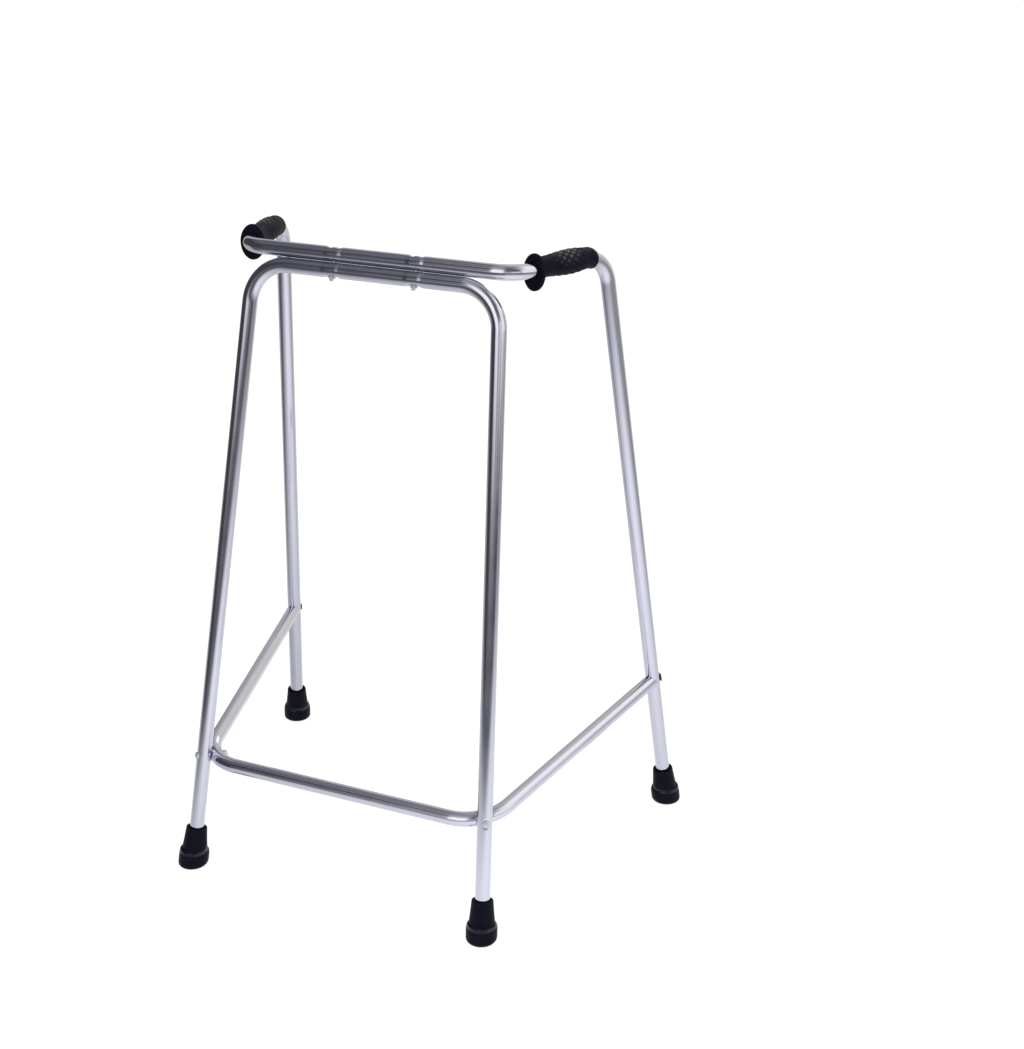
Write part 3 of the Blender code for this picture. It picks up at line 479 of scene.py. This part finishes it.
bolt_finish = zinc_plated_steel()
for side, word in ((-1, "left"), (1, "right")):
    lower, upper = lower_bolts[(side + 1) // 2], upper_bolts[(side + 1) // 2]
    seat = upper + STACK_UP * (TUBE_RADIUS - UPPER_DENT + SEAT_GAP)
    end = lower - STACK_UP * (TUBE_RADIUS + BAR_BOLT_TIP)
    profile = dome_profile(np.linalg.norm(seat - end), **BAR_BOLT)
    make_piece("bar_bolt_" + word, turned_rings(profile, seat, STACK_UP), bolt_finish,
               ["top_bolt_" + word])
    nut_seat = lower - STACK_UP * (TUBE_RADIUS - LOWER_DENT + SEAT_GAP)
    make_piece("bar_nut_" + word, nut_rings(nut_seat, -STACK_UP, **BAR_NUT), bolt_finish,
               ["top_nut_" + word], joined=True)

    outward = for_side(side, BOLT_OUT)
    seat = for_side(side, BOLT_IN_LEG) + outward * (TUBE_RADIUS - HEAD_IN_LEG + SEAT_GAP)
    nut_seat = for_side(side, BOLT_IN_BRACE) - outward * (TUBE_RADIUS - NUT_DENT + SEAT_GAP)
    profile = dome_profile(np.linalg.norm(seat - nut_seat) + LEG_BOLT_TIP, **BRACE_BOLT)
    make_piece("leg_bolt_" + word, turned_rings(profile, seat, outward), bolt_finish,
               ["front_bolt_" + word])
    make_piece("leg_nut_" + word, nut_rings(nut_seat, -outward, **LEG_NUT), bolt_finish,
               ["front_nut_" + word], joined=True)

    backward = for_side(side, BRACE_SIDE)
    leg_to_head = TUBE_RADIUS + SADDLE_WALL + 2 * SEAT_GAP
    seat = for_side(side, BRACE_END) + backward * leg_to_head
    profile = dome_profile(leg_to_head + TUBE_RADIUS + BOLT_IN_PLUG, **BRACE_BOLT)
    make_piece("brace_bolt_" + word, turned_rings(profile, seat, backward), bolt_finish,
               ["rear_bolt_" + word])


# Plugs, saddles and washers: a nylon plug in each end of the brace takes the rear bolt, whose
# head rests on a nylon saddle, and a steel washer lies between each leg's cut end and its sole.

SADDLE_INSIDE, SADDLE_OUTSIDE = 9.9, 13.0
SADDLE_FACE = 12.6
SADDLE_HALF_WRAP = math.radians(52)
SADDLE_HALF_HEIGHT = 5.2
SQUARENESS = 0.4


def moulded_nylon():
    """Injection moulded nylon: dark grey with a soft gloss and faint flow marks."""
    finish, tree, skin = new_finish("moulded_nylon")
    place = add(tree, "ShaderNodeTexCoord").outputs["Object"]
    flow = add(tree, "ShaderNodeTexNoise", {"Vector": place, "Scale": cells(2), "Detail": 2.0})
    tone = add(tree, "ShaderNodeMix", {"Factor": flow.outputs["Fac"],
                                       6: hex_colour("#3A3A3E"), 7: hex_colour("#484850")},
               data_type="RGBA")
    tree.links.new(tone.outputs[2], skin.inputs["Base Color"])
    skin.inputs["Roughness"].default_value = 0.45
    return finish


plug_finish = moulded_nylon()
for name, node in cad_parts.items():
    if name.startswith(("washer", "brace_plug")):
        node.data.materials.clear()
        node.data.materials.append(bolt_finish if name.startswith("washer") else plug_finish)


def rounded(wave):
    """The wave's size to a power below 1, with its sign: it turns circles into rounded squares."""
    return np.sign(wave) * np.abs(wave) ** SQUARENESS


def saddle_rings():
    """A rounded block bent round the leg: rounded squares of angle and radius, which shrink to a
    point above and below, with the outer side cut flat where the bolt head rests."""
    level = np.linspace(-math.pi / 2, math.pi / 2, 15)[:, None]
    turn = np.linspace(0, 2 * math.pi, 48, endpoint=False)[None, :]
    angle = SADDLE_HALF_WRAP * rounded(np.cos(level)) * rounded(np.cos(turn))
    middle, half = (SADDLE_OUTSIDE + SADDLE_INSIDE) / 2, (SADDLE_OUTSIDE - SADDLE_INSIDE) / 2
    radius = middle + half * rounded(np.cos(level)) * rounded(np.sin(turn))
    away = unit(BRACE_SIDE - REAR_LEG * (BRACE_SIDE @ REAR_LEG))
    aside = np.cross(REAR_LEG, away)
    rise = SADDLE_HALF_HEIGHT * rounded(np.sin(level))
    return (BRACE_END + np.minimum(radius * np.cos(angle), SADDLE_FACE)[..., None] * away
            + (radius * np.sin(angle))[..., None] * aside + rise[..., None] * REAR_LEG)


for side, word in ((-1, "left"), (1, "right")):
    make_piece("saddle_" + word, for_side(side, saddle_rings()), plug_finish,
               ["rear_saddle_" + word])


# Ferrules: moulded black rubber cups pushed on the four feet. The sleeve stays square to its
# leg, and the wide base leans so that its sole lies flat on the floor.

FERRULE_COLUMNS = 72
FERRULE_TOP = 53.0
SOCKET_FLOOR, SOCKET_MOUTH = 9.0, 51.0
RIM_RADIUS, RIM_EDGE = 13.8, 1.2
LIP_TURNS = (0.6, 1.1)
SLEEVE_FROM, SLEEVE_POWER = 0.15, 1.15
SHOULDER_RADIUS, SHOULDER_TOP, SHOULDER_FALL = 16.5, 24.0, 3.8
SHOULDER_POWER, SHOULDER_INSET = 1.5, 0.5
BASE_RADIUS, BASE_EDGE, BASE_DRAFT = 19.8, 5.5, 0.04
BASE_WALL = [(0.2, 18.8), (0.0, 16.5), (0.0, 12.0), (0.02, 8.0)]     # inset and height
TREAD = [(12.8, 0.0), (12.2, 1.2), (10.6, 1.2), (10.0, 0.0), (7.0, 0.0), (6.4, 1.2),
         (4.6, 1.2), (4.0, 0.0), (0.0, 0.0)]                        # radius and height
POLISHED_HEIGHT, POLISHED_HALF, POLISHED_FADED = 21.6, 1.0, 2.6
DUST_HEIGHT = 6.0


def ferrule_profile():
    """Radius and height from the socket's floor up the bore, over the rounded rim, down the
    tapered sleeve, shoulder and base, round the edge and in over the tread's grooves. The sleeve
    widens with its share of the way down to a power, which makes it slightly hollow. The shoulder
    is a quarter round whose sine is raised to a power, so that it falls away sooner."""
    quarter = np.linspace(0, math.pi / 2, 9)
    bore = TUBE_RADIUS + SEAT_GAP
    rim_middle, rim_low = RIM_RADIUS - RIM_EDGE, FERRULE_TOP - RIM_EDGE
    inside = [(0.0, SOCKET_FLOOR), (bore, SOCKET_FLOOR), (bore, SOCKET_MOUTH)]
    lip = [(rim_middle - RIM_EDGE * math.cos(turn), rim_low + RIM_EDGE * math.sin(turn))
           for turn in LIP_TURNS]
    rim = np.stack([rim_middle + RIM_EDGE * np.sin(quarter),
                    rim_low + RIM_EDGE * np.cos(quarter)], 1)
    share = np.linspace(SLEEVE_FROM, 1, 8)
    sleeve = np.stack([RIM_RADIUS + (SHOULDER_RADIUS - RIM_RADIUS) * share ** SLEEVE_POWER,
                       rim_low - (rim_low - SHOULDER_TOP) * share], 1)
    step = BASE_RADIUS - SHOULDER_INSET - SHOULDER_RADIUS
    shoulder = np.stack([SHOULDER_RADIUS + step * np.sin(quarter) ** SHOULDER_POWER,
                         SHOULDER_TOP - SHOULDER_FALL * (1 - np.cos(quarter))], 1)
    wall = [(BASE_RADIUS - inset, height) for inset, height in BASE_WALL]
    edge = np.stack([BASE_RADIUS - BASE_DRAFT - BASE_EDGE * (1 - np.cos(quarter)),
                     BASE_EDGE * (1 - np.sin(quarter))], 1)
    return np.concatenate([inside, lip, rim, sleeve, shoulder[1:], wall, edge, TREAD])


def ferrule_rings(foot, leg):
    """A turned cup whose points slide along the leg by share times their rise above a level
    plane. The base's rings lie level, and the share fades to 0 at the sleeve and in the socket."""
    profile = ferrule_profile()
    rings = turned_rings(profile, np.zeros(3), leg, FERRULE_COLUMNS)
    height = profile[:, 1][:, None]
    inner = (profile[:, 0] < TUBE_RADIUS + 2 * SEAT_GAP) & (profile[:, 1] > SOCKET_FLOOR / 2)
    share = np.clip((SHOULDER_TOP - height) / (SHOULDER_TOP - BASE_EDGE), 0, 1) * ~inner[:, None]
    rise = rings[..., 2] - height * leg[2]
    return foot + rings - (share * rise / leg[2])[..., None] * leg


def black_rubber():
    """Compression moulded rubber: blue black with a bloom in soft patches and a fine grain from
    the mould, which was polished at the shoulder's edge. Dust clings close to the floor."""
    finish, tree, skin = new_finish("black_rubber")
    place = add(tree, "ShaderNodeTexCoord").outputs["Object"]
    bloom = add(tree, "ShaderNodeTexNoise", {"Vector": place, "Scale": cells(11.1),
                                             "Detail": 5.0, "Roughness": 0.6})
    grain = add(tree, "ShaderNodeTexNoise", {"Vector": place, "Scale": cells(0.714),
                                             "Detail": 2.0})
    height = add(tree, "ShaderNodeSeparateXYZ", {0: place}).outputs["Z"]
    low = add(tree, "ShaderNodeMapRange", {"Value": height, "From Min": 0.0,
                                           "From Max": DUST_HEIGHT * MM, "To Min": 0.35,
                                           "To Max": 0.0})
    dust = add(tree, "ShaderNodeMath", {0: low.outputs[0], 1: bloom.outputs["Fac"]},
               operation="MULTIPLY")
    tone = add(tree, "ShaderNodeMix", {"Factor": bloom.outputs["Fac"],
                                       6: hex_colour("#0D0E18"), 7: hex_colour("#1C1E2C")},
               data_type="RGBA")
    dusty = add(tree, "ShaderNodeMix", {"Factor": dust.outputs[0], 6: tone.outputs[2],
                                        7: hex_colour("#5A5752")}, data_type="RGBA")
    rough = add(tree, "ShaderNodeMapRange", {"Value": bloom.outputs["Fac"], "To Min": 0.35,
                                             "To Max": 0.50})
    above = add(tree, "ShaderNodeMath", {0: height, 1: POLISHED_HEIGHT * MM},
                operation="SUBTRACT")
    apart = add(tree, "ShaderNodeMath", {0: above.outputs[0]}, operation="ABSOLUTE")
    ring = add(tree, "ShaderNodeMapRange", {"Value": apart.outputs[0],
                                            "From Min": POLISHED_HALF * MM,
                                            "From Max": POLISHED_FADED * MM,
                                            "To Min": 0.9, "To Max": 0.0})
    relief = add(tree, "ShaderNodeBump", {"Height": grain.outputs["Fac"], "Strength": 0.3,
                                          "Distance": 0.1 * MM})
    tree.links.new(dusty.outputs[2], skin.inputs["Base Color"])
    tree.links.new(rough.outputs[0], skin.inputs["Roughness"])
    tree.links.new(relief.outputs[0], skin.inputs["Normal"])
    tree.links.new(ring.outputs[0], skin.inputs["Coat Weight"])
    skin.inputs["Specular IOR Level"].default_value = 0.05
    skin.inputs["Coat Roughness"].default_value = 0.10
    return finish


rubber_finish = black_rubber()
for side, word in ((-1, "left"), (1, "right")):
    for end, foot, leg in (("front", FRONT_FOOT, FRONT_LEG), ("rear", REAR_FOOT, REAR_LEG)):
        rings = ferrule_rings(for_side(side, foot), for_side(side, leg))
        make_piece(f"ferrule_cup_{end}_{word}", rings, rubber_finish,
                   [f"ferrule_{end}_{word}"])


# Hand grips: black vinyl, moulded in one piece and pushed over the rails. An oval stop hangs in
# front of the hand, then come a neck, a belly with low raised diamonds and a rounded tail.

GRIP_COLUMNS = 240
GRIP_ROW = 0.5
BORE_ROW = 15.0
GRIP_LENGTH = 113.5
GRIP_RISE = 2.1
STOP_THICKNESS, STOP_EDGE, STOP_DROP = 7.0, 2.6, 4.5
STOP_CONE = np.array([1.3, 7.0])
NECK, BELLY, TAIL = 20.0, 68.0, 110.0
NECK_HALF = np.array([11.9, 12.9])
BELLY_HALF = np.array([14.6, 15.0])
TAIL_HALF = np.array([12.8, 12.8])
TAIL_EDGE, TAIL_DROP, EDGE_RUN = 2.0, 8.5, 5.0
DIAMOND_LENGTH = 13.0
DIAMONDS_ROUND = 10
DIAMOND_HEIGHT = 0.5
DIAMOND_SLOPE, GROOVE_DEEPER = 1.7, 0.12
DIAMONDS_FROM, DIAMONDS_TO, DIAMONDS_FADE = 31.0, 94.0, 6.0
WORN_PLACE = (55.0, 21.0)       # along and round, on the grip's map
WORN_FROM, WORN_TO = 12.0, 28.0
TIPS_FROM, TIPS_TO = 0.65, 5.2
RIGHT_RAIL = 6                  # among leg, bend, rail, bend, bar, bend, rail, bend and leg


def ease(share):
    """3 x^2 - 2 x^3 between 0 and 1."""
    share = np.clip(share, 0, 1)
    return share * share * (3 - 2 * share)


def quarter_round(share):
    """The height of a quarter circle, from 1 at share 0 down to 0 at share 1."""
    return np.sqrt(1 - np.clip(share, 0, 1) ** 2)


def grip_sections(distance):
    """Half width and half height, and the rise, at each distance. The belly swells and falls on
    two eased ramps, the stop's oval shrinks by the square of 1 - sqrt(share) over its cone, and
    the edges of stop and tail are quarter circles."""
    along = distance[:, None]
    swell = ease((along - NECK) / (BELLY - NECK)) * (1 - ease((along - BELLY) / (TAIL - BELLY)))
    plain = NECK_HALF + (TAIL_HALF - NECK_HALF) * ease((along - NECK) / (TAIL - NECK))
    cone = (1 - np.sqrt(np.clip((along - STOP_THICKNESS) / EDGE_RUN, 0, 1))) ** 2
    off_middle = np.abs(along - STOP_THICKNESS / 2) - (STOP_THICKNESS / 2 - STOP_EDGE)
    flange = (along <= STOP_THICKNESS) * STOP_EDGE * quarter_round(off_middle / STOP_EDGE)
    tail = TAIL_EDGE * (1 - quarter_round((along - GRIP_LENGTH + EDGE_RUN) / EDGE_RUN))
    half = plain + (BELLY_HALF - plain) * swell + STOP_CONE * cone + flange - tail
    rise = GRIP_RISE * (1 - ease((along - GRIP_LENGTH + TAIL_DROP) / TAIL_DROP)) - STOP_DROP * cone
    return half, rise


def diamonds(distance, angle):
    """Raised diamonds between two crossing sets of helical grooves: the lower of two triangle
    waves of x / length + n a / 2 pi and x / length - n a / 2 pi, eased, and faded at both ends."""
    turns = DIAMONDS_ROUND * angle / (2 * math.pi)
    steps = distance / DIAMOND_LENGTH
    one = 1 - np.abs(2 * ((steps + turns) % 1) - 1)
    two = 1 - np.abs(2 * ((steps - turns) % 1) - 1)
    zone = (ease((distance - DIAMONDS_FROM) / DIAMONDS_FADE)
            * ease((DIAMONDS_TO - distance) / DIAMONDS_FADE))
    return DIAMOND_HEIGHT * zone * ease(np.minimum(one, two) * DIAMOND_SLOPE - GROOVE_DEEPER)


def grip_rings():
    """The right grip's rings on the handle frame's centre line, skin forwards and bore back, and
    its map, which counts one diamond length per diamond both along and around."""
    distance = np.append(np.arange(0.0, GRIP_LENGTH, GRIP_ROW), GRIP_LENGTH)
    centre, direction = along_line(handle_line, handle_line["starts"][RIGHT_RAIL] + distance)
    up = unit(UPWARD - direction * direction[:, 2:])
    aside = np.cross(direction, up)
    angle = np.linspace(0, 2 * math.pi, GRIP_COLUMNS, endpoint=False)[None, :]
    half, rise = grip_sections(distance)
    relief = diamonds(distance[:, None], angle)
    sideways = (half[:, :1] + relief) * np.cos(angle)
    upward = rise + (half[:, 1:] + relief) * np.sin(angle)
    skin = (centre[:, None] + sideways[..., None] * aside[:, None]
            + upward[..., None] * up[:, None])
    inner = np.append(np.arange(len(distance) - 1, 0, -round(BORE_ROW / GRIP_ROW)), 0)
    spoke = (np.cos(angle)[..., None] * aside[inner, None]
             + np.sin(angle)[..., None] * up[inner, None])
    hole = centre[inner, None] + (TUBE_RADIUS + SEAT_GAP) * spoke
    along = np.append(distance, distance[inner])
    return np.concatenate([skin, hole]), (along, DIAMONDS_ROUND * DIAMOND_LENGTH / GRIP_COLUMNS)


def moulded_vinyl():
    """Plasticised PVC moulding: black with a violet cast, faint patches of grease and the fine
    grain of a spark eroded mould. The heel of the hand has polished the diamonds, not the grooves,
    on the outer top: min(pingpong(u + v), pingpong(u - v)) of the map, faded round one place."""
    finish, tree, skin = new_finish("moulded_vinyl")
    place = add(tree, "ShaderNodeTexCoord").outputs["Object"]
    grease = add(tree, "ShaderNodeTexNoise", {"Vector": place, "Scale": cells(14.3),
                                              "Detail": 4.0})
    grain = add(tree, "ShaderNodeTexNoise", {"Vector": place, "Scale": cells(0.556),
                                             "Detail": 3.0})
    flat = add(tree, "ShaderNodeUVMap", uv_map="drawn").outputs["UV"]
    drawn = add(tree, "ShaderNodeSeparateXYZ", {0: flat})
    waves = []
    for operation in ("ADD", "SUBTRACT"):
        mixed = add(tree, "ShaderNodeMath", {0: drawn.outputs["X"], 1: drawn.outputs["Y"]},
                    operation=operation)
        folded = add(tree, "ShaderNodeMath", {0: mixed.outputs[0], 1: DIAMOND_LENGTH / 2 * MM},
                     operation="PINGPONG")
        waves.append(folded.outputs[0])
    lower = add(tree, "ShaderNodeMath", {0: waves[0], 1: waves[1]}, operation="MINIMUM")
    tips = add(tree, "ShaderNodeMapRange", {"Value": lower.outputs[0],
                                            "From Min": TIPS_FROM * MM,
                                            "From Max": TIPS_TO * MM})
    away = add(tree, "ShaderNodeVectorMath",
               {0: flat, 1: (WORN_PLACE[0] * MM, WORN_PLACE[1] * MM, 0.0)}, operation="DISTANCE")
    worn = add(tree, "ShaderNodeMapRange", {"Value": away.outputs["Value"],
                                            "From Min": WORN_FROM * MM,
                                            "From Max": WORN_TO * MM,
                                            "To Min": 1.0, "To Max": 0.0})
    polish = add(tree, "ShaderNodeMath", {0: tips.outputs[0], 1: worn.outputs[0]},
                 operation="MULTIPLY")
    tone = add(tree, "ShaderNodeMix", {"Factor": grease.outputs["Fac"],
                                       6: hex_colour("#0E0D1A"), 7: hex_colour("#171526")},
               data_type="RGBA")
    rough = add(tree, "ShaderNodeMapRange", {"Value": polish.outputs[0], "To Min": 0.50,
                                             "To Max": 0.24})
    relief = add(tree, "ShaderNodeBump", {"Height": grain.outputs["Fac"], "Strength": 0.25,
                                          "Distance": 0.1 * MM})
    tree.links.new(tone.outputs[2], skin.inputs["Base Color"])
    tree.links.new(rough.outputs[0], skin.inputs["Roughness"])
    tree.links.new(polish.outputs[0], skin.inputs["Coat Weight"])
    tree.links.new(relief.outputs[0], skin.inputs["Normal"])
    skin.inputs["Specular IOR Level"].default_value = 0.06
    skin.inputs["Coat Roughness"].default_value = 0.17
    return finish


grip_finish = moulded_vinyl()
for side, word in ((-1, "left"), (1, "right")):
    rings, uv = grip_rings()
    make_piece("hand_grip_" + word, for_side(side, rings), grip_finish,
               ["grip_" + word], uv, joined=True)


# Studio: a white floor that runs out of the picture, a room that shows only in reflections, soft
# light from all around, and a camera at the photograph's place.

FLOOR_HALF = 60.0
FLOOR_GLOW_MIDDLE = (0.61, -0.47, 0.0)
FLOOR_GLOW_REACH = 2.05
CEILING_FROM, CEILING_FULL = math.radians(60), math.radians(76)
CAMERA_PLACE = (1.04631, -1.94630, 1.31500)
CAMERA_DOWN, CAMERA_TURN = 21.55, 24.54
CAMERA_LENS, CAMERA_SENSOR = 62.70, 36.0


def white_floor():
    """White paper: its own glow brings it to white, and a part that follows the light keeps a
    faint shadow under the feet. In reflections it is lit near the frame, and fades with distance
    into the dark floor of the room."""
    finish = bpy.data.materials.new("white_paper")
    finish.use_nodes = True
    tree = finish.node_tree
    tree.nodes.clear()
    ray = add(tree, "ShaderNodeLightPath").outputs
    plain = add(tree, "ShaderNodeBsdfDiffuse", {"Color": hex_colour("#BCBCBC")})
    glow = add(tree, "ShaderNodeEmission", {"Color": hex_colour("#FFFFFF"), "Strength": 0.80})
    seen = add(tree, "ShaderNodeAddShader", {0: plain.outputs[0], 1: glow.outputs[0]})
    bounce = add(tree, "ShaderNodeBsdfDiffuse", {"Color": hex_colour("#E7E7E7")})

    place = add(tree, "ShaderNodeNewGeometry").outputs["Position"]
    away = add(tree, "ShaderNodeVectorMath", {0: place, 1: FLOOR_GLOW_MIDDLE},
               operation="DISTANCE")
    near = add(tree, "ShaderNodeMapRange", {"Value": away.outputs["Value"], "From Min": 0.0,
                                            "From Max": FLOOR_GLOW_REACH, "To Min": 1.0,
                                            "To Max": 0.0}, interpolation_type="SMOOTHSTEP")
    lit = add(tree, "ShaderNodeEmission", {"Color": hex_colour("#FDFDFF"), "Strength": 1.10})
    beyond = add(tree, "ShaderNodeBsdfTransparent")
    mirrored = add(tree, "ShaderNodeMixShader", {0: near.outputs[0], 1: beyond.outputs[0],
                                                 2: lit.outputs[0]})

    other = add(tree, "ShaderNodeMixShader", {0: ray["Is Glossy Ray"], 1: bounce.outputs[0],
                                              2: mirrored.outputs[0]})
    final = add(tree, "ShaderNodeMixShader", {0: ray["Is Camera Ray"], 1: other.outputs[0],
                                              2: seen.outputs[0]})
    add(tree, "ShaderNodeOutputMaterial", {"Surface": final.outputs[0]})
    return finish


floor_mesh = bpy.data.meshes.new("paper_floor")
floor_corners = [(x * FLOOR_HALF, y * FLOOR_HALF, 0.0)
                 for x, y in ((-1, -1), (1, -1), (1, 1), (-1, 1))]
floor_mesh.from_pydata(floor_corners, [], [(0, 1, 2, 3)])
floor = bpy.data.objects.new("paper_floor", floor_mesh)
bpy.context.scene.collection.objects.link(floor)
floor_mesh.materials.append(white_floor())

room = bpy.data.worlds.new("studio_room")
bpy.context.scene.world = room
room.use_nodes = True
sky = room.node_tree
sky.nodes.clear()
toward = add(sky, "ShaderNodeTexCoord").outputs["Generated"]
direction = add(sky, "ShaderNodeSeparateXYZ", {0: toward})
azimuth = add(sky, "ShaderNodeMath", {0: direction.outputs["X"], 1: direction.outputs["Y"]},
              operation="ARCTAN2").outputs[0]
elevation = add(sky, "ShaderNodeMath", {0: direction.outputs["Z"]},
                operation="ARCSINE").outputs[0]


def near_angle(angle, middle, half, soft):
    """1 where an angle in radians lies within half of a middle in degrees, fading at the edges."""
    off = add(sky, "ShaderNodeMath", {0: angle, 1: math.radians(middle)}, operation="SUBTRACT")
    turned = add(sky, "ShaderNodeMath", {0: off.outputs[0], 1: math.pi, 2: -math.pi},
                 operation="WRAP")
    apart = add(sky, "ShaderNodeMath", {0: turned.outputs[0]}, operation="ABSOLUTE")
    return add(sky, "ShaderNodeMapRange", {"Value": apart.outputs[0],
                                           "From Min": math.radians(half - soft),
                                           "From Max": math.radians(half + soft),
                                           "To Min": 1.0, "To Max": 0.0},
               interpolation_type="SMOOTHSTEP").outputs[0]


def hang(behind, light, middle, half, low, high, soft):
    """A panel in front of what is behind it. Its light is linear, and 1 is paper white. Its
    middle and half width, its lower and upper edge and their softness are in degrees as seen
    from the frame, where 0 is +Y and 90 is +X."""
    wide = near_angle(azimuth, middle, half, soft)
    tall = near_angle(elevation, (low + high) / 2, (high - low) / 2, soft)
    cover = add(sky, "ShaderNodeMath", {0: wide, 1: tall}, operation="MULTIPLY")
    return add(sky, "ShaderNodeMix", {"Factor": cover.outputs[0], 6: behind,
                                      7: (*light, 1.0)}, data_type="RGBA").outputs[2]


ceiling = add(sky, "ShaderNodeMapRange", {"Value": elevation, "From Min": CEILING_FROM,
                                          "From Max": CEILING_FULL},
              interpolation_type="SMOOTHSTEP")
seen = add(sky, "ShaderNodeMix", {"Factor": ceiling.outputs[0], 6: (0.52, 0.51, 0.51, 1.0),
                                  7: (0.34, 0.34, 0.37, 1.0)}, data_type="RGBA").outputs[2]

# Each panel makes one of the light and dark bands that the photograph shows along the tubes.
for panel in (
        ((0.120, 0.120, 0.128), 171, 88, -90, 2, 4),      # dark floor round the paper, in front
        ((0.34, 0.34, 0.34), 68, 91, -90, -9, 1.5),       # paler floor on the right
        ((0.062, 0.060, 0.066), -103, 49, -11, 50, 5),    # black screen on the left
        ((1.20, 1.19, 1.14), 46, 40, 21, 63, 12),         # lit cloth, high behind on the right
        ((1.09, 1.09, 1.04), 87, 24, -2, 42, 4),          # lit cloth on the right
        ((0.155, 0.155, 0.160), 136, 26, 23, 90, 9),      # dark wall, high in front on the right
        ((1.26, 1.26, 1.20), -177, 19, 5, 45, 5),         # lit cloth in front
        ((0.10, 0.10, 0.11), -152, 5, 9, 22, 3),          # dark stand beside it
        ((0.042, 0.042, 0.052), 108, 14, -7.5, -2, 2),    # black skirting under the right cloth
        ((0.85, 0.85, 0.83), 128, 13, 4, 20, 2.5),        # pale board under the dark wall
        ((0.75, 0.74, 0.67), 6, 28, -60, 57, 12),         # white wall behind
        ((0.135, 0.140, 0.165), -86, 48, 39, 67, 8),      # dark curtain above the screen
        ((3.10, 3.20, 3.50), 3, 7, 19, 33, 4)):           # window in the wall behind
    seen = hang(seen, *panel)

ray = add(sky, "ShaderNodeLightPath").outputs
mirrored = add(sky, "ShaderNodeBackground", {"Color": seen, "Strength": 1.0})
fill = add(sky, "ShaderNodeBackground", {"Color": hex_colour("#FFFFFF"), "Strength": 0.45})
white = add(sky, "ShaderNodeBackground", {"Color": hex_colour("#FFFFFF"), "Strength": 1.0})
lit = add(sky, "ShaderNodeMixShader", {0: ray["Is Glossy Ray"], 1: fill.outputs[0],
                                       2: mirrored.outputs[0]})
shown = add(sky, "ShaderNodeMixShader", {0: ray["Is Camera Ray"], 1: lit.outputs[0],
                                         2: white.outputs[0]})
add(sky, "ShaderNodeOutputWorld", {"Surface": shown.outputs[0]})


def soft_box(name, place, aim, width, height, watts):
    """An area lamp at a place, turned to shine on a point, and left out of reflections."""
    lamp = bpy.data.lights.new(name, "AREA")
    lamp.shape, lamp.size, lamp.size_y, lamp.energy = "RECTANGLE", width, height, watts
    box = bpy.data.objects.new(name, lamp)
    bpy.context.scene.collection.objects.link(box)
    box.location = place
    box.rotation_euler = (Vector(aim) - Vector(place)).to_track_quat("-Z", "Y").to_euler()
    box.visible_glossy = False


soft_box("soft_box_left", (-2.2, -1.6, 2.0), (0.0, 0.0, 0.4), 1.0, 1.6, 25)
soft_box("soft_box_right", (2.6, -0.6, 1.8), (0.0, 0.0, 0.4), 0.8, 1.6, 25)

camera_data = bpy.data.cameras.new("photo_camera")
camera_data.lens = CAMERA_LENS
camera_data.sensor_width = CAMERA_SENSOR
camera_data.clip_end = 200.0
camera = bpy.data.objects.new("photo_camera", camera_data)
bpy.context.scene.collection.objects.link(camera)
camera.location = CAMERA_PLACE
camera.rotation_euler = (math.radians(90 - CAMERA_DOWN), 0.0, math.radians(CAMERA_TURN))
bpy.context.scene.camera = camera
bpy.context.scene.view_settings.view_transform = "Standard"
